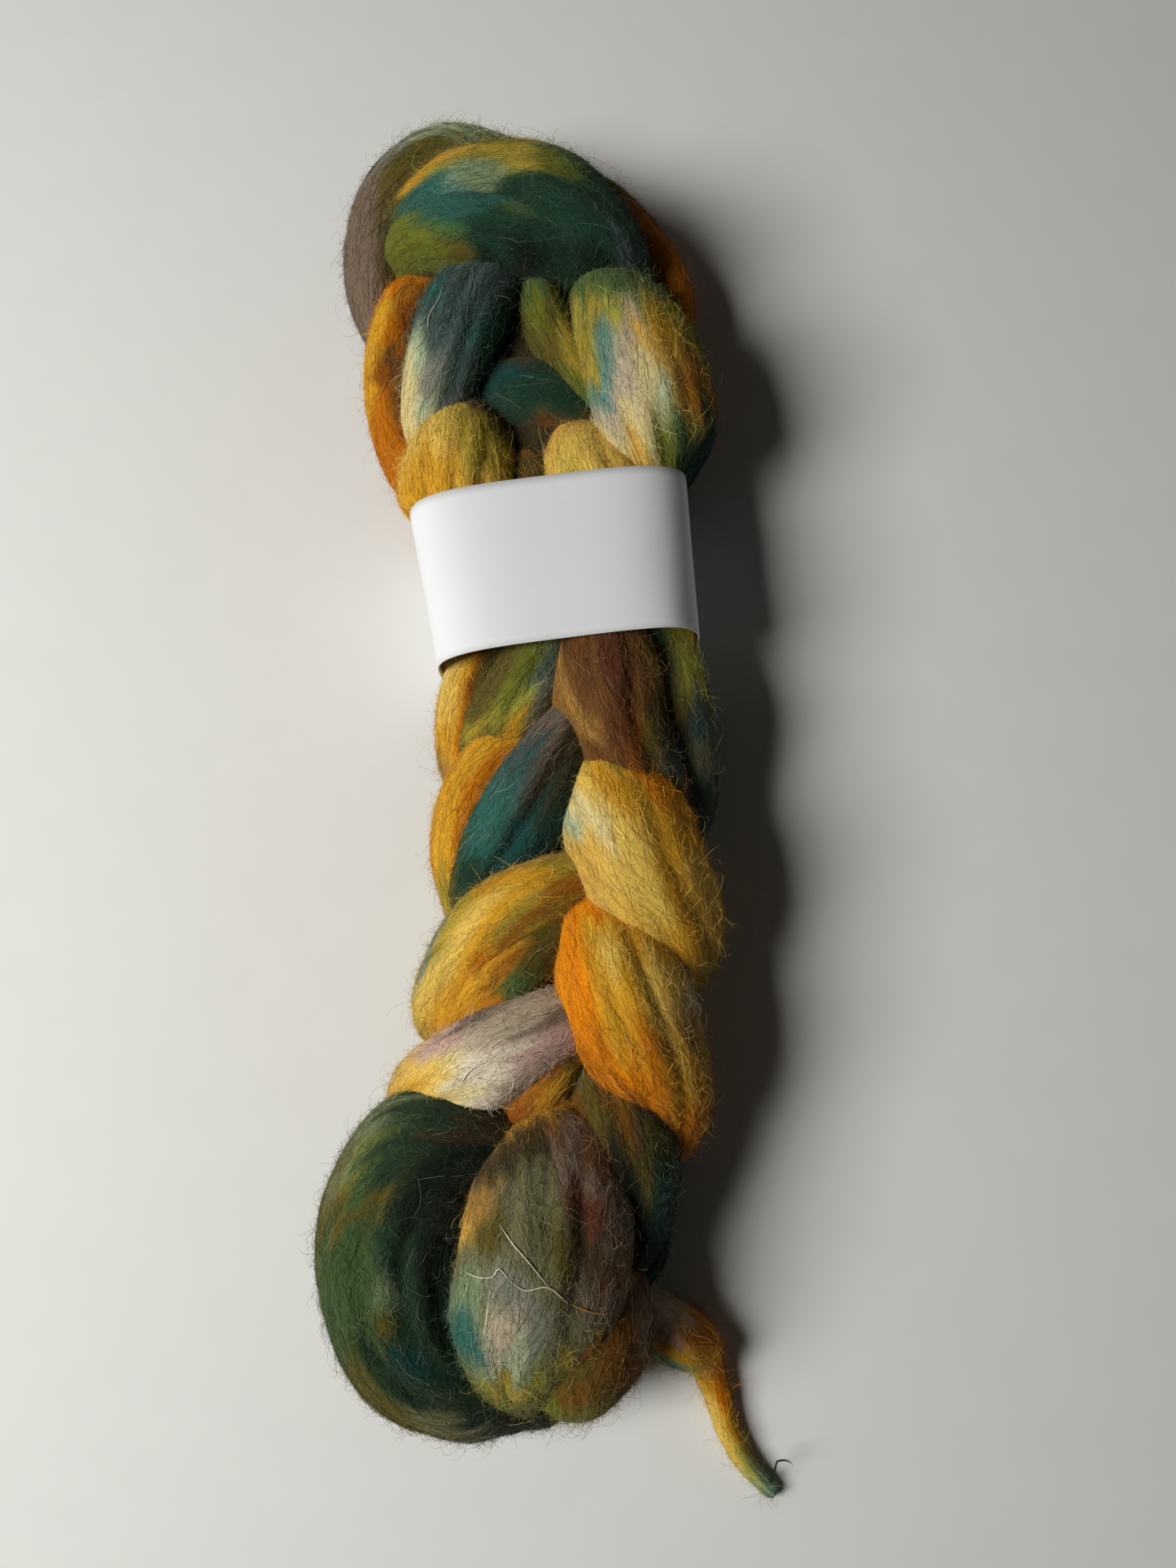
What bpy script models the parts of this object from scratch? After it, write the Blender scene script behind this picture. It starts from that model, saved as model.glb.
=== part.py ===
"""A chain braid of combed wool and silk top with a paper band round its upper middle.

The braid lies on its back on the table: +X is the right of the photo, +Y its top, +Z up.
"""

import math

import bmesh
import bpy
import numpy as np

MM = 0.001

# The braid's hidden middle line, along which the stitches cross. One row for each height along it.
# columns: y, x
SPINE = (
    (190, -22),
    (150, -18),
    (110, -9),
    (60, -8),
    (0, -2),
    (-60, -6),
    (-100, -12),
    (-140, -22),
    (-180, -26),
)
SPINE_Z = 27
OUTWARD_LIFT = 10
CORE_Z = 22
CORE_WIDTH = 40
CORE_THICK = 32
CORE_ENDS = (172, -152)
CORE_STATIONS = 12

# The legs of the chain, from the top of the photo down. A leg starts at its knee in the middle of
# the braid, rises over its belly, goes down to its foot at the side and turns in under the braid.
# The drop is how much lower than its belly a leg lies at its knee, under the stitch above.
# columns: name, knee x, knee y, belly x, belly y, foot x, foot y, width, thickness, crown z, foot z, drop
LEGS = (
    ("left_3", -10, 68, -25, 52, -34, 38, 25, 26, 54, 24, 5),
    ("right_3", -7, 68, 9, 54, 22, 38, 28, 28, 54, 28, 10),
    ("left_4_inner", -7, 45, -19, 20, -31, 5, 22, 24, 54, 25, 5),
    ("left_4_outer", -23, 46, -32, 20, -32, 0, 20, 26, 45, 22, 5),
    ("right_4_inner", 2, 46, 6, 17, 15, -11, 33, 32, 59, 34, 8),
    ("right_4_outer", 16, 44, 23, 15, 25, -12, 22, 28, 48, 22, 8),
    ("left_5_inner", -2, 13, -17, -13, -31, -35, 25, 26, 56, 26, 5),
    ("left_5_outer", -13, 14, -30, -11, -32, -38, 22, 26, 48, 22, 5),
    ("right_5", 3, 6, 12, -22, 24, -50, 38, 34, 60, 32, 13),
    ("left_6_upper", -3, -32, -26, -45, -40, -70, 22, 26, 55, 24, 5),
    ("left_6_lower", -3, -42, -21, -57, -33, -72, 20, 24, 51, 25, 6),
    ("right_6", 2, -38, 11, -66, 20, -96, 37, 34, 60, 30, 13),
    ("left_7_upper", -6, -71, -28, -82, -45, -94, 27, 28, 56, 27, 5),
    ("left_7_lower", -5, -79, -15, -91, -25, -104, 18, 22, 50, 28, 5),
    ("right_7_inner", 0, -80, 10, -101, 10, -130, 29, 28, 52, 25, 12),
    ("right_7_outer", 10, -100, 12, -122, 8, -142, 18, 26, 38, 17, 5),
)
START_Z = 24
START_BACK = 0.2
UNDER_Z = 10
UNDER_SHIFT_Y = -5
UNDER_REACH = 0.5
# How much of its width and thickness a leg keeps at each of its five stations.
# columns: width share, thickness share
LEG_FULLNESS = ((0.5, 0.6), (0.76, 0.8), (1.0, 1.0), (0.88, 0.84), (0.9, 0.8))

# Passes that don't follow the plain leg: the top knot with the first stitch below it, the swelling
# above the band, the last loop and the loose end.
# columns: x, y, z, width, thickness
ROUTES = {
    "cap_upper": (
        (-54, 161, 27, 20, 20),
        (-51, 168, 35, 24, 24),
        (-37, 174, 41, 28, 28),
        (-20, 174, 43, 31, 30),
        (-6, 167, 43, 31, 30),
        (4, 157, 40, 28, 28),
        (9, 147, 32, 24, 22),
    ),
    "cap_lower": (
        (-54, 162, 28, 18, 20),
        (-50, 163, 37, 21, 22),
        (-36, 161, 43, 24, 24),
        (-21, 158, 44, 24, 24),
        (-7, 156, 41, 22, 23),
        (5, 154, 33, 18, 20),
    ),
    "ring": (
        (-54, 134, 12, 13, 16),
        (-61, 143, 17, 17, 21),
        (-64, 158, 23, 22, 26),
        (-60, 176, 27, 24, 28),
        (-48, 189, 29, 25, 28),
        (-33, 192, 28, 25, 28),
        (-14, 185, 25, 24, 28),
        (3, 176, 22, 24, 28),
        (15, 164, 20, 24, 27),
        (21, 150, 19, 24, 26),
        (22, 136, 16, 20, 22),
    ),
    "side_strand": (
        (-49, 154, 26, 14, 16),
        (-55, 144, 28, 17, 20),
        (-58, 129, 26, 17, 23),
        (-57, 113, 22, 17, 24),
        (-52, 99, 18, 16, 23),
        (-46, 88, 14, 14, 18),
    ),
    "side_strand_inner": (
        (-44, 153, 26, 12, 16),
        (-50, 140, 29, 12, 20),
        (-52, 126, 27, 12, 20),
        (-50, 112, 20, 12, 18),
    ),
    "inner_cross": (
        (-36, 118, 24, 20, 20),
        (-21, 115, 32, 24, 22),
        (-7, 111, 32, 24, 22),
        (6, 106, 26, 20, 20),
    ),
    "inner_rise": (
        (-24, 150, 24, 16, 18),
        (-17, 133, 27, 20, 20),
        (-9, 122, 25, 16, 18),
    ),
    "left_1": (
        (-29, 162, 24, 28, 18),
        (-32, 150, 33, 31, 22),
        (-37, 136, 41, 27, 25),
        (-42, 122, 40, 24, 24),
        (-47, 110, 31, 20, 21),
        (-49, 101, 19, 17, 17),
    ),
    "right_1_inner": (
        (-18, 158, 28, 13, 16),
        (-16, 148, 35, 14, 19),
        (-11, 132, 38, 15, 20),
        (-3, 115, 35, 14, 20),
        (6, 101, 27, 12, 18),
    ),
    "right_1": (
        (2, 155, 14, 34, 22),
        (6, 146, 25, 38, 27),
        (13, 129, 40, 37, 33),
        (18, 113, 41, 37, 34),
        (21, 101, 37, 37, 34),
        (24, 91, 25, 34, 32),
        (26, 83, 13, 30, 26),
    ),
    "left_2": (
        (-36, 101, 23, 36, 28),
        (-38, 94, 28, 40, 34),
        (-39, 86, 30, 41, 36),
        (-38, 78, 28, 39, 34),
        (-36, 70, 25, 33, 28),
    ),
    "middle_2": (
        (-15, 99, 22, 12, 18),
        (-15, 91, 29, 13, 20),
        (-15, 82, 32, 13, 20),
        (-16, 74, 29, 12, 18),
    ),
    "right_2": (
        (-1, 102, 22, 26, 20),
        (0, 95, 29, 29, 25),
        (2, 87, 35, 30, 28),
        (6, 79, 36, 28, 28),
        (12, 70, 30, 24, 26),
    ),
    "end_loop": (
        (-16, -103, 26, 18, 20),
        (-29, -102, 36, 28, 30),
        (-42, -107, 37, 38, 40),
        (-50, -122, 32, 40, 45),
        (-52, -142, 29, 40, 45),
        (-46, -160, 25, 38, 41),
        (-34, -170, 21, 30, 34),
        (-20, -174, 17, 24, 28),
        (-8, -171, 14, 18, 22),
    ),
    "end_bundle": (
        (-11, -102, 39, 28, 22),
        (-10, -107, 43, 38, 26),
        (-10, -116, 45, 43, 29),
        (-11, -130, 46, 47, 31),
        (-14, -146, 42, 47, 33),
        (-17, -157, 34, 38, 32),
        (-20, -167, 24, 28, 26),
    ),
    "end_bundle_side": (
        (-13, -167, 19, 22, 22),
        (-4, -164, 27, 31, 30),
        (2, -155, 31, 33, 31),
        (4, -146, 27, 26, 26),
        (3, -137, 21, 18, 20),
    ),
    "loose_end": (
        (2, -148, 12, 24, 18),
        (10, -154, 12, 28, 19),
        (23, -161, 11, 29, 16),
        (32, -166, 8.5, 22, 13),
        (35, -173, 6.5, 11, 9),
        (38, -182, 5, 7.5, 7.5),
        (41, -192, 4, 6.4, 6.4),
        (46.5, -201, 3.2, 5.4, 5.4),
        (53, -208, 2.6, 4.6, 4.6),
    ),
}

# The bumps on the back of the chain, one under each stitch. They carry the braid on the table.
# columns: y, half length across, width along y
BACK_BUMPS = (
    (168, 26, 28),
    (140, 27, 30),
    (113, 27, 30),
    (85, 26, 30),
    (56, 26, 30),
    (27, 24, 30),
    (-2, 24, 30),
    (-31, 24, 30),
    (-59, 24, 30),
    (-87, 26, 30),
    (-115, 28, 30),
    (-143, 28, 30),
)
BUMP_Z = 10
BUMP_RISE = 3
BUMP_LEAN = 4
BUMP_THICK = 26
BUMP_END_WIDTH = 0.8
BUMP_END_THICK = 0.75

# The paper band: a sleeve whose lower end is a little narrower and taller than its upper end.
BAND_CENTRE = (-8.6, 56.0)
BAND_TURN = math.radians(7.4)
BAND_LENGTH = 48.0
BAND_PAPER = 0.6
BAND_UPPER_HALF_WIDTH = 41.5
BAND_LOWER_HALF_WIDTH = 38.5
BAND_UPPER_TOP = 56.0
BAND_LOWER_TOP = 59.0
BAND_MIDDLE_Z = 30.0
BAND_BELOW_TABLE = 2.5
BAND_SQUARENESS = 3.6
BAND_AROUND = 72
BAND_ALONG = 4
BAND_CLEARANCE = 0.9
BAND_FREE_END = 2.0
BAND_BULGE_SLOPE = 0.9
BAND_REACH = 20.0

RING_POINTS = 20
STATION_STEP = 2.5
CAP_RINGS = 4
CAP_OPENING = 0.35
VOXEL = 1.5
BRAID_TRIANGLES = 8200
SMALLEST = 1e-6


def spine_x(y):
    rows = SPINE[::-1]
    return float(np.interp(y, [row[0] for row in rows], [row[1] for row in rows]))


def smooth_through(stations):
    """Points of a Catmull-Rom curve through the stations, in every column."""
    rows = np.array(stations, float)
    rows = np.vstack([2 * rows[0] - rows[1], rows, 2 * rows[-1] - rows[-2]])
    curve = []
    for index in range(1, len(rows) - 2):
        before, start, end, after = rows[index - 1 : index + 3]
        steps = max(2, round(np.linalg.norm(end[:3] - start[:3]) / STATION_STEP))
        for step in range(steps):
            t = step / steps
            curve.append(
                0.5
                * (
                    2 * start
                    + (end - before) * t
                    + (2 * before - 5 * start + 4 * end - after) * t**2
                    + (3 * start - before - 3 * end + after) * t**3
                )
            )
    curve.append(rows[-2])
    return np.array(curve)


def capped(curve):
    """The same curve with rows added at both ends, where the section shrinks to a rounded tip."""
    ends = []
    for tip, inner in ((curve[0], curve[1]), (curve[-1], curve[-2])):
        away = tip[:3] - inner[:3]
        away /= np.linalg.norm(away)
        reach = 0.5 * min(tip[3], tip[4])
        rows = []
        for ring in range(1, CAP_RINGS + 1):
            angle = 0.5 * math.pi * ring / (CAP_RINGS + CAP_OPENING)
            row = tip.copy()
            row[:3] += away * reach * math.sin(angle)
            row[3:5] *= math.cos(angle)
            rows.append(row)
        ends.append(rows)
    return np.vstack([ends[0][::-1], curve, ends[1]])


def add_pass(mesh, stations):
    """Sweeps an oval section along the stations, its thin side facing away from the spine."""
    curve = capped(smooth_through(stations))
    centres = curve[:, :3]
    tangents = np.gradient(centres, axis=0)
    rings = []
    side_before = None
    for centre, tangent, row in zip(centres, tangents, curve):
        tangent = tangent / np.linalg.norm(tangent)
        outward = (centre[0] - spine_x(centre[1]), 0.0, centre[2] - SPINE_Z + OUTWARD_LIFT)
        side = np.cross(tangent, outward)
        side = side / np.linalg.norm(side)
        if side_before is not None:
            if side @ side_before < 0:
                side = -side
            side = side + side_before
            side -= tangent * (side @ tangent)
            side /= np.linalg.norm(side)
        side_before = side
        normal = np.cross(side, tangent)
        ring = []
        for point in range(RING_POINTS):
            angle = 2 * math.pi * point / RING_POINTS
            offset = side * (0.5 * row[3] * math.cos(angle))
            offset = offset + normal * (0.5 * row[4] * math.sin(angle))
            ring.append(mesh.verts.new((centre + offset) * MM))
        rings.append(ring)
    for lower, upper in zip(rings, rings[1:]):
        for point in range(RING_POINTS):
            after = (point + 1) % RING_POINTS
            mesh.faces.new((lower[point], lower[after], upper[after], upper[point]))
    mesh.faces.new(rings[0][::-1])
    mesh.faces.new(rings[-1])


def leg_stations(row):
    knee_x, knee_y, belly_x, belly_y, foot_x, foot_y, width, thick, crown, foot_z, drop = row[1:]
    belly_z = crown - 0.5 * thick
    knee_z = crown - drop - 0.5 * thick * LEG_FULLNESS[1][1]
    start_x = knee_x + START_BACK * (knee_x - belly_x)
    start_y = knee_y + START_BACK * (knee_y - belly_y)
    under_x = foot_x + UNDER_REACH * (spine_x(foot_y) - foot_x)
    centres = (
        (start_x, start_y, START_Z),
        (knee_x, knee_y, knee_z),
        (belly_x, belly_y, belly_z),
        (foot_x, foot_y, foot_z),
        (under_x, foot_y + UNDER_SHIFT_Y, UNDER_Z),
    )
    return [
        (*centre, width * wide, thick * deep)
        for centre, (wide, deep) in zip(centres, LEG_FULLNESS)
    ]


def core_stations():
    return [
        (spine_x(y), y, CORE_Z, CORE_WIDTH, CORE_THICK)
        for y in np.linspace(*CORE_ENDS, CORE_STATIONS)
    ]


def bump_stations(row):
    y, half, width = row
    x = spine_x(y)
    end = (BUMP_END_WIDTH * width, BUMP_END_THICK * BUMP_THICK)
    return [
        (x - half, y - BUMP_LEAN, BUMP_Z + BUMP_RISE, *end),
        (x, y, BUMP_Z, width, BUMP_THICK),
        (x + half, y + BUMP_LEAN, BUMP_Z + BUMP_RISE, *end),
    ]


def evaluated_mesh(holder):
    graph = bpy.context.evaluated_depsgraph_get()
    return bpy.data.meshes.new_from_object(holder.evaluated_get(graph))


def with_modifier(mesh, kind, **settings):
    """The mesh that a modifier of this kind makes from this mesh."""
    holder = bpy.data.objects.new("holder", mesh)
    bpy.context.scene.collection.objects.link(holder)
    modifier = holder.modifiers.new(kind.lower(), kind)
    for name, value in settings.items():
        setattr(modifier, name, value)
    made = evaluated_mesh(holder)
    bpy.data.objects.remove(holder)
    bpy.data.meshes.remove(mesh)
    return made


def band_frame(points):
    """Across and along positions of points in the band's own turned frame, in millimetres."""
    x = points[:, 0] / MM - BAND_CENTRE[0]
    y = points[:, 1] / MM - BAND_CENTRE[1]
    across = x * math.cos(BAND_TURN) + y * math.sin(BAND_TURN)
    along = -x * math.sin(BAND_TURN) + y * math.cos(BAND_TURN)
    return across, along


def band_sizes(along):
    """Half width and top height of the band's outside at this place along it."""
    share = np.clip(along / BAND_LENGTH + 0.5, -0.5, 1.5)
    half = BAND_LOWER_HALF_WIDTH + share * (BAND_UPPER_HALF_WIDTH - BAND_LOWER_HALF_WIDTH)
    top = BAND_LOWER_TOP + share * (BAND_UPPER_TOP - BAND_LOWER_TOP)
    return half, top


def press_under_band(mesh):
    """Draws the fibre in under the paper, and lets it swell out again past both of its ends."""
    points = np.empty(len(mesh.vertices) * 3)
    mesh.vertices.foreach_get("co", points)
    points = points.reshape(-1, 3)
    across, along = band_frame(points)
    height = points[:, 2] / MM
    half, top = band_sizes(along)
    past_end = np.maximum(0.0, np.abs(along) - 0.5 * BAND_LENGTH - BAND_FREE_END)
    inset = BAND_PAPER + BAND_CLEARANCE - BAND_BULGE_SLOPE * past_end
    rise = height - BAND_MIDDLE_Z
    room_across = half - inset
    room_up = np.where(rise > 0, top - BAND_MIDDLE_Z, BAND_MIDDLE_Z + BAND_BELOW_TABLE) - inset
    reach = np.abs(across / room_across) ** BAND_SQUARENESS + np.abs(rise / room_up) ** BAND_SQUARENESS
    shrink = np.maximum(reach, 1.0) ** (-1 / BAND_SQUARENESS)
    across_new = across * shrink
    rise_new = np.maximum(rise * shrink, inset - BAND_MIDDLE_Z)
    rise_new = np.where(inset > 0, rise_new, rise * shrink)
    x = across_new * math.cos(BAND_TURN) - along * math.sin(BAND_TURN) + BAND_CENTRE[0]
    y = across_new * math.sin(BAND_TURN) + along * math.cos(BAND_TURN) + BAND_CENTRE[1]
    pressed = np.stack([x, y, rise_new + BAND_MIDDLE_Z], axis=1) * MM
    near = past_end < BAND_REACH
    points[near] = pressed[near]
    mesh.vertices.foreach_set("co", points.ravel())
    mesh.update()


def cut_flat_at_table(mesh):
    """Cuts the underside at the table and closes it with flat faces."""
    work = bmesh.new()
    work.from_mesh(mesh)
    geometry = work.verts[:] + work.edges[:] + work.faces[:]
    bmesh.ops.bisect_plane(
        work,
        geom=geometry,
        dist=SMALLEST,
        plane_co=(0, 0, 0),
        plane_no=(0, 0, 1),
        clear_inner=True,
    )
    open_edges = [edge for edge in work.edges if edge.is_boundary]
    bmesh.ops.holes_fill(work, edges=open_edges, sides=0)
    bmesh.ops.triangulate(work, faces=work.faces[:])
    bmesh.ops.recalc_face_normals(work, faces=work.faces[:])
    work.to_mesh(mesh)
    work.free()


def keep_largest_shell(mesh):
    """Leaves out any scrap of surface that isn't part of the braid's own skin."""
    work = bmesh.new()
    work.from_mesh(mesh)
    left = set(work.verts)
    shells = []
    while left:
        front = [left.pop()]
        shell = list(front)
        while front:
            vert = front.pop()
            for edge in vert.link_edges:
                other = edge.other_vert(vert)
                if other in left:
                    left.remove(other)
                    front.append(other)
                    shell.append(other)
        shells.append(shell)
    shells.sort(key=len)
    for shell in shells[:-1]:
        bmesh.ops.delete(work, geom=shell, context="VERTS")
    work.to_mesh(mesh)
    work.free()


def make_braid():
    work = bmesh.new()
    add_pass(work, core_stations())
    for row in LEGS:
        add_pass(work, leg_stations(row))
    for row in BACK_BUMPS:
        add_pass(work, bump_stations(row))
    for stations in ROUTES.values():
        add_pass(work, stations)
    bmesh.ops.recalc_face_normals(work, faces=work.faces[:])
    mesh = bpy.data.meshes.new("passes")
    work.to_mesh(mesh)
    work.free()
    mesh = with_modifier(mesh, "REMESH", mode="VOXEL", voxel_size=VOXEL * MM)
    keep_largest_shell(mesh)
    press_under_band(mesh)
    mesh.calc_loop_triangles()
    ratio = BRAID_TRIANGLES / len(mesh.loop_triangles)
    mesh = with_modifier(mesh, "DECIMATE", ratio=ratio)
    press_under_band(mesh)
    cut_flat_at_table(mesh)
    return mesh


def band_outline(along, inset):
    """One turn of the band's section at this place, drawn in from its outside by the inset."""
    half, top = band_sizes(along)
    outline = []
    for point in range(BAND_AROUND):
        angle = 2 * math.pi * point / BAND_AROUND
        cosine, sine = math.cos(angle), math.sin(angle)
        up = top - BAND_MIDDLE_Z if sine > 0 else BAND_MIDDLE_Z + BAND_BELOW_TABLE
        across = math.copysign(abs(cosine) ** (2 / BAND_SQUARENESS), cosine) * (half - inset)
        rise = math.copysign(abs(sine) ** (2 / BAND_SQUARENESS), sine) * (up - inset)
        height = max(BAND_MIDDLE_Z + rise, inset)
        x = BAND_CENTRE[0] + across * math.cos(BAND_TURN) - along * math.sin(BAND_TURN)
        y = BAND_CENTRE[1] + across * math.sin(BAND_TURN) + along * math.cos(BAND_TURN)
        outline.append((x * MM, y * MM, height * MM))
    return outline


def make_band():
    work = bmesh.new()
    rings = []
    places = np.linspace(-0.5 * BAND_LENGTH, 0.5 * BAND_LENGTH, BAND_ALONG)
    for place in places:
        rings.append([work.verts.new(point) for point in band_outline(place, 0.0)])
    for place in places[::-1]:
        rings.append([work.verts.new(point) for point in band_outline(place, BAND_PAPER)])
    for index, ring in enumerate(rings):
        following = rings[(index + 1) % len(rings)]
        for point in range(BAND_AROUND):
            after = (point + 1) % BAND_AROUND
            work.faces.new((ring[point], ring[after], following[after], following[point]))
    bmesh.ops.recalc_face_normals(work, faces=work.faces[:])
    mesh = bpy.data.meshes.new("paper_band")
    work.to_mesh(mesh)
    work.free()
    return mesh


def add_object(name, mesh, colour, roughness):
    material = bpy.data.materials.new(name)
    material.use_nodes = True
    shader = material.node_tree.nodes["Principled BSDF"]
    shader.inputs["Base Color"].default_value = (*colour, 1.0)
    shader.inputs["Roughness"].default_value = roughness
    shader.inputs["Metallic"].default_value = 0.0
    mesh.name = name
    mesh.materials.clear()
    mesh.materials.append(material)
    mesh.shade_smooth()
    made = bpy.data.objects.new(name, mesh)
    bpy.context.scene.collection.objects.link(made)
    return made


def centre_on_table(meshes):
    """Moves the meshes together so that the middle of their joint box is over the origin."""
    corners = []
    for mesh in meshes:
        points = np.empty(len(mesh.vertices) * 3)
        mesh.vertices.foreach_get("co", points)
        points = points.reshape(-1, 3)
        corners += [points.min(axis=0), points.max(axis=0)]
    middle = 0.5 * (np.min(corners, axis=0) + np.max(corners, axis=0))
    for mesh in meshes:
        points = np.empty(len(mesh.vertices) * 3)
        mesh.vertices.foreach_get("co", points)
        points = points.reshape(-1, 3)
        points[:, :2] -= middle[:2]
        mesh.vertices.foreach_set("co", points.ravel())
        mesh.update()


def main():
    for old in list(bpy.data.objects):
        bpy.data.objects.remove(old)
    braid = make_braid()
    band = make_band()
    centre_on_table((braid, band))
    add_object("braid", braid, (0.42, 0.27, 0.05), 0.9)
    add_object("paper_band", band, (0.86, 0.86, 0.87), 0.75)


main()
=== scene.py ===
"""The looks of a chain braid of combed wool and silk top with a bare paper sleeve.

Sizes are in millimetres until a mesh is made. The tables are seen from above: x to the right, y up
the braid, z towards the camera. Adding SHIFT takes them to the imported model's frame.
"""

import math

import bpy
import numpy as np
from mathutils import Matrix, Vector


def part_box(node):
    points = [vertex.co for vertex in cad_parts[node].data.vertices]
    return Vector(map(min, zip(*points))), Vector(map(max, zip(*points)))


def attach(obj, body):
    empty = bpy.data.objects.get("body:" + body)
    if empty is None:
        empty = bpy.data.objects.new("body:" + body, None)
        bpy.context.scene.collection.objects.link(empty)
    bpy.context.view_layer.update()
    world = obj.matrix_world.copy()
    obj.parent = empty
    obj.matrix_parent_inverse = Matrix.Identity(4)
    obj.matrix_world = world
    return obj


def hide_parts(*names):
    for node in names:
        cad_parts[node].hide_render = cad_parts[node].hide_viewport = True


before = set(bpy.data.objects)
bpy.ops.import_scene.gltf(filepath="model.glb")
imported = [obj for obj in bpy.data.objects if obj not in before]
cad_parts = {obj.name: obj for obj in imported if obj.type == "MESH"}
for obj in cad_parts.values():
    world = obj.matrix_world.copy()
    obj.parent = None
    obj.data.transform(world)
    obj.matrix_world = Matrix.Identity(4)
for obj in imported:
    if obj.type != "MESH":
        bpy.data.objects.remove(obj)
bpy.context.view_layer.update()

MM = 0.001
SEED = 11
STRAND_SEED = 100
STRAY_SEED = 200
PAPER_SEED = 300
# What keeps a place inside its grid of values, and a length off zero.
GRID_END = 1.001
NOISE_END = 0.9999
TINY = 1e-9

# The braid's hidden middle line, along which the stitches cross.
# columns: y, x
SPINE = (
    (190, -22), (150, -18), (110, -9), (60, -8), (0, -2), (-60, -6), (-100, -12), (-140, -22),
    (-180, -26),
)
SPINE_Z = 27
OUTWARD_LIFT = 10
LEVEL_MEMORY = 0.5
CORE_Z = 22
CORE_WIDTH = 40
CORE_THICK = 32
CORE_ENDS = (172, -152)
CORE_STATIONS = 12

# The legs of the chain, from the top down. A leg starts at its knee in the middle of the braid,
# rises over its belly, goes down to its foot at the side and turns in under the braid. The drop is
# how much lower than its belly a leg lies at its knee, under the stitch above.
# columns: name, knee x, knee y, belly x, belly y, foot x, foot y, width, thickness, crown z, foot z, drop
LEGS = (
    ("left_3", -10, 68, -25, 52, -34, 38, 25, 26, 54, 24, 5),
    ("right_3", -7, 68, 9, 54, 22, 38, 28, 28, 54, 28, 10),
    ("left_4_inner", -7, 45, -19, 20, -31, 5, 22, 24, 54, 25, 5),
    ("left_4_outer", -23, 46, -32, 20, -32, 0, 20, 26, 45, 22, 5),
    ("right_4_inner", 2, 46, 6, 17, 15, -11, 33, 32, 59, 34, 8),
    ("right_4_outer", 16, 44, 23, 15, 25, -12, 22, 28, 48, 22, 8),
    ("left_5_inner", -2, 13, -17, -13, -31, -35, 25, 26, 56, 26, 5),
    ("left_5_outer", -13, 14, -30, -11, -32, -38, 22, 26, 48, 22, 5),
    ("right_5", 3, 6, 12, -22, 24, -50, 38, 34, 60, 32, 13),
    ("left_6_upper", -3, -32, -26, -45, -40, -70, 22, 26, 55, 24, 5),
    ("left_6_lower", -3, -42, -21, -57, -33, -72, 20, 24, 51, 25, 6),
    ("right_6", 2, -38, 11, -66, 20, -96, 37, 34, 60, 30, 13),
    ("left_7_upper", -6, -71, -28, -82, -45, -94, 27, 28, 56, 27, 5),
    ("left_7_lower", -5, -79, -15, -91, -25, -104, 18, 22, 50, 28, 5),
    ("right_7_inner", 0, -80, 10, -101, 10, -130, 29, 28, 52, 25, 12),
    ("right_7_outer", 10, -100, 12, -122, 8, -142, 18, 26, 38, 17, 5),
)
START_Z = 24
START_BACK = 0.2
UNDER_Z = 10
UNDER_SHIFT_Y = -5
UNDER_REACH = 0.5
# How much of its width and thickness a leg keeps at each of its five stations.
# columns: width share, thickness share
LEG_FULLNESS = ((0.5, 0.6), (0.76, 0.8), (1.0, 1.0), (0.88, 0.84), (0.9, 0.8))

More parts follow.
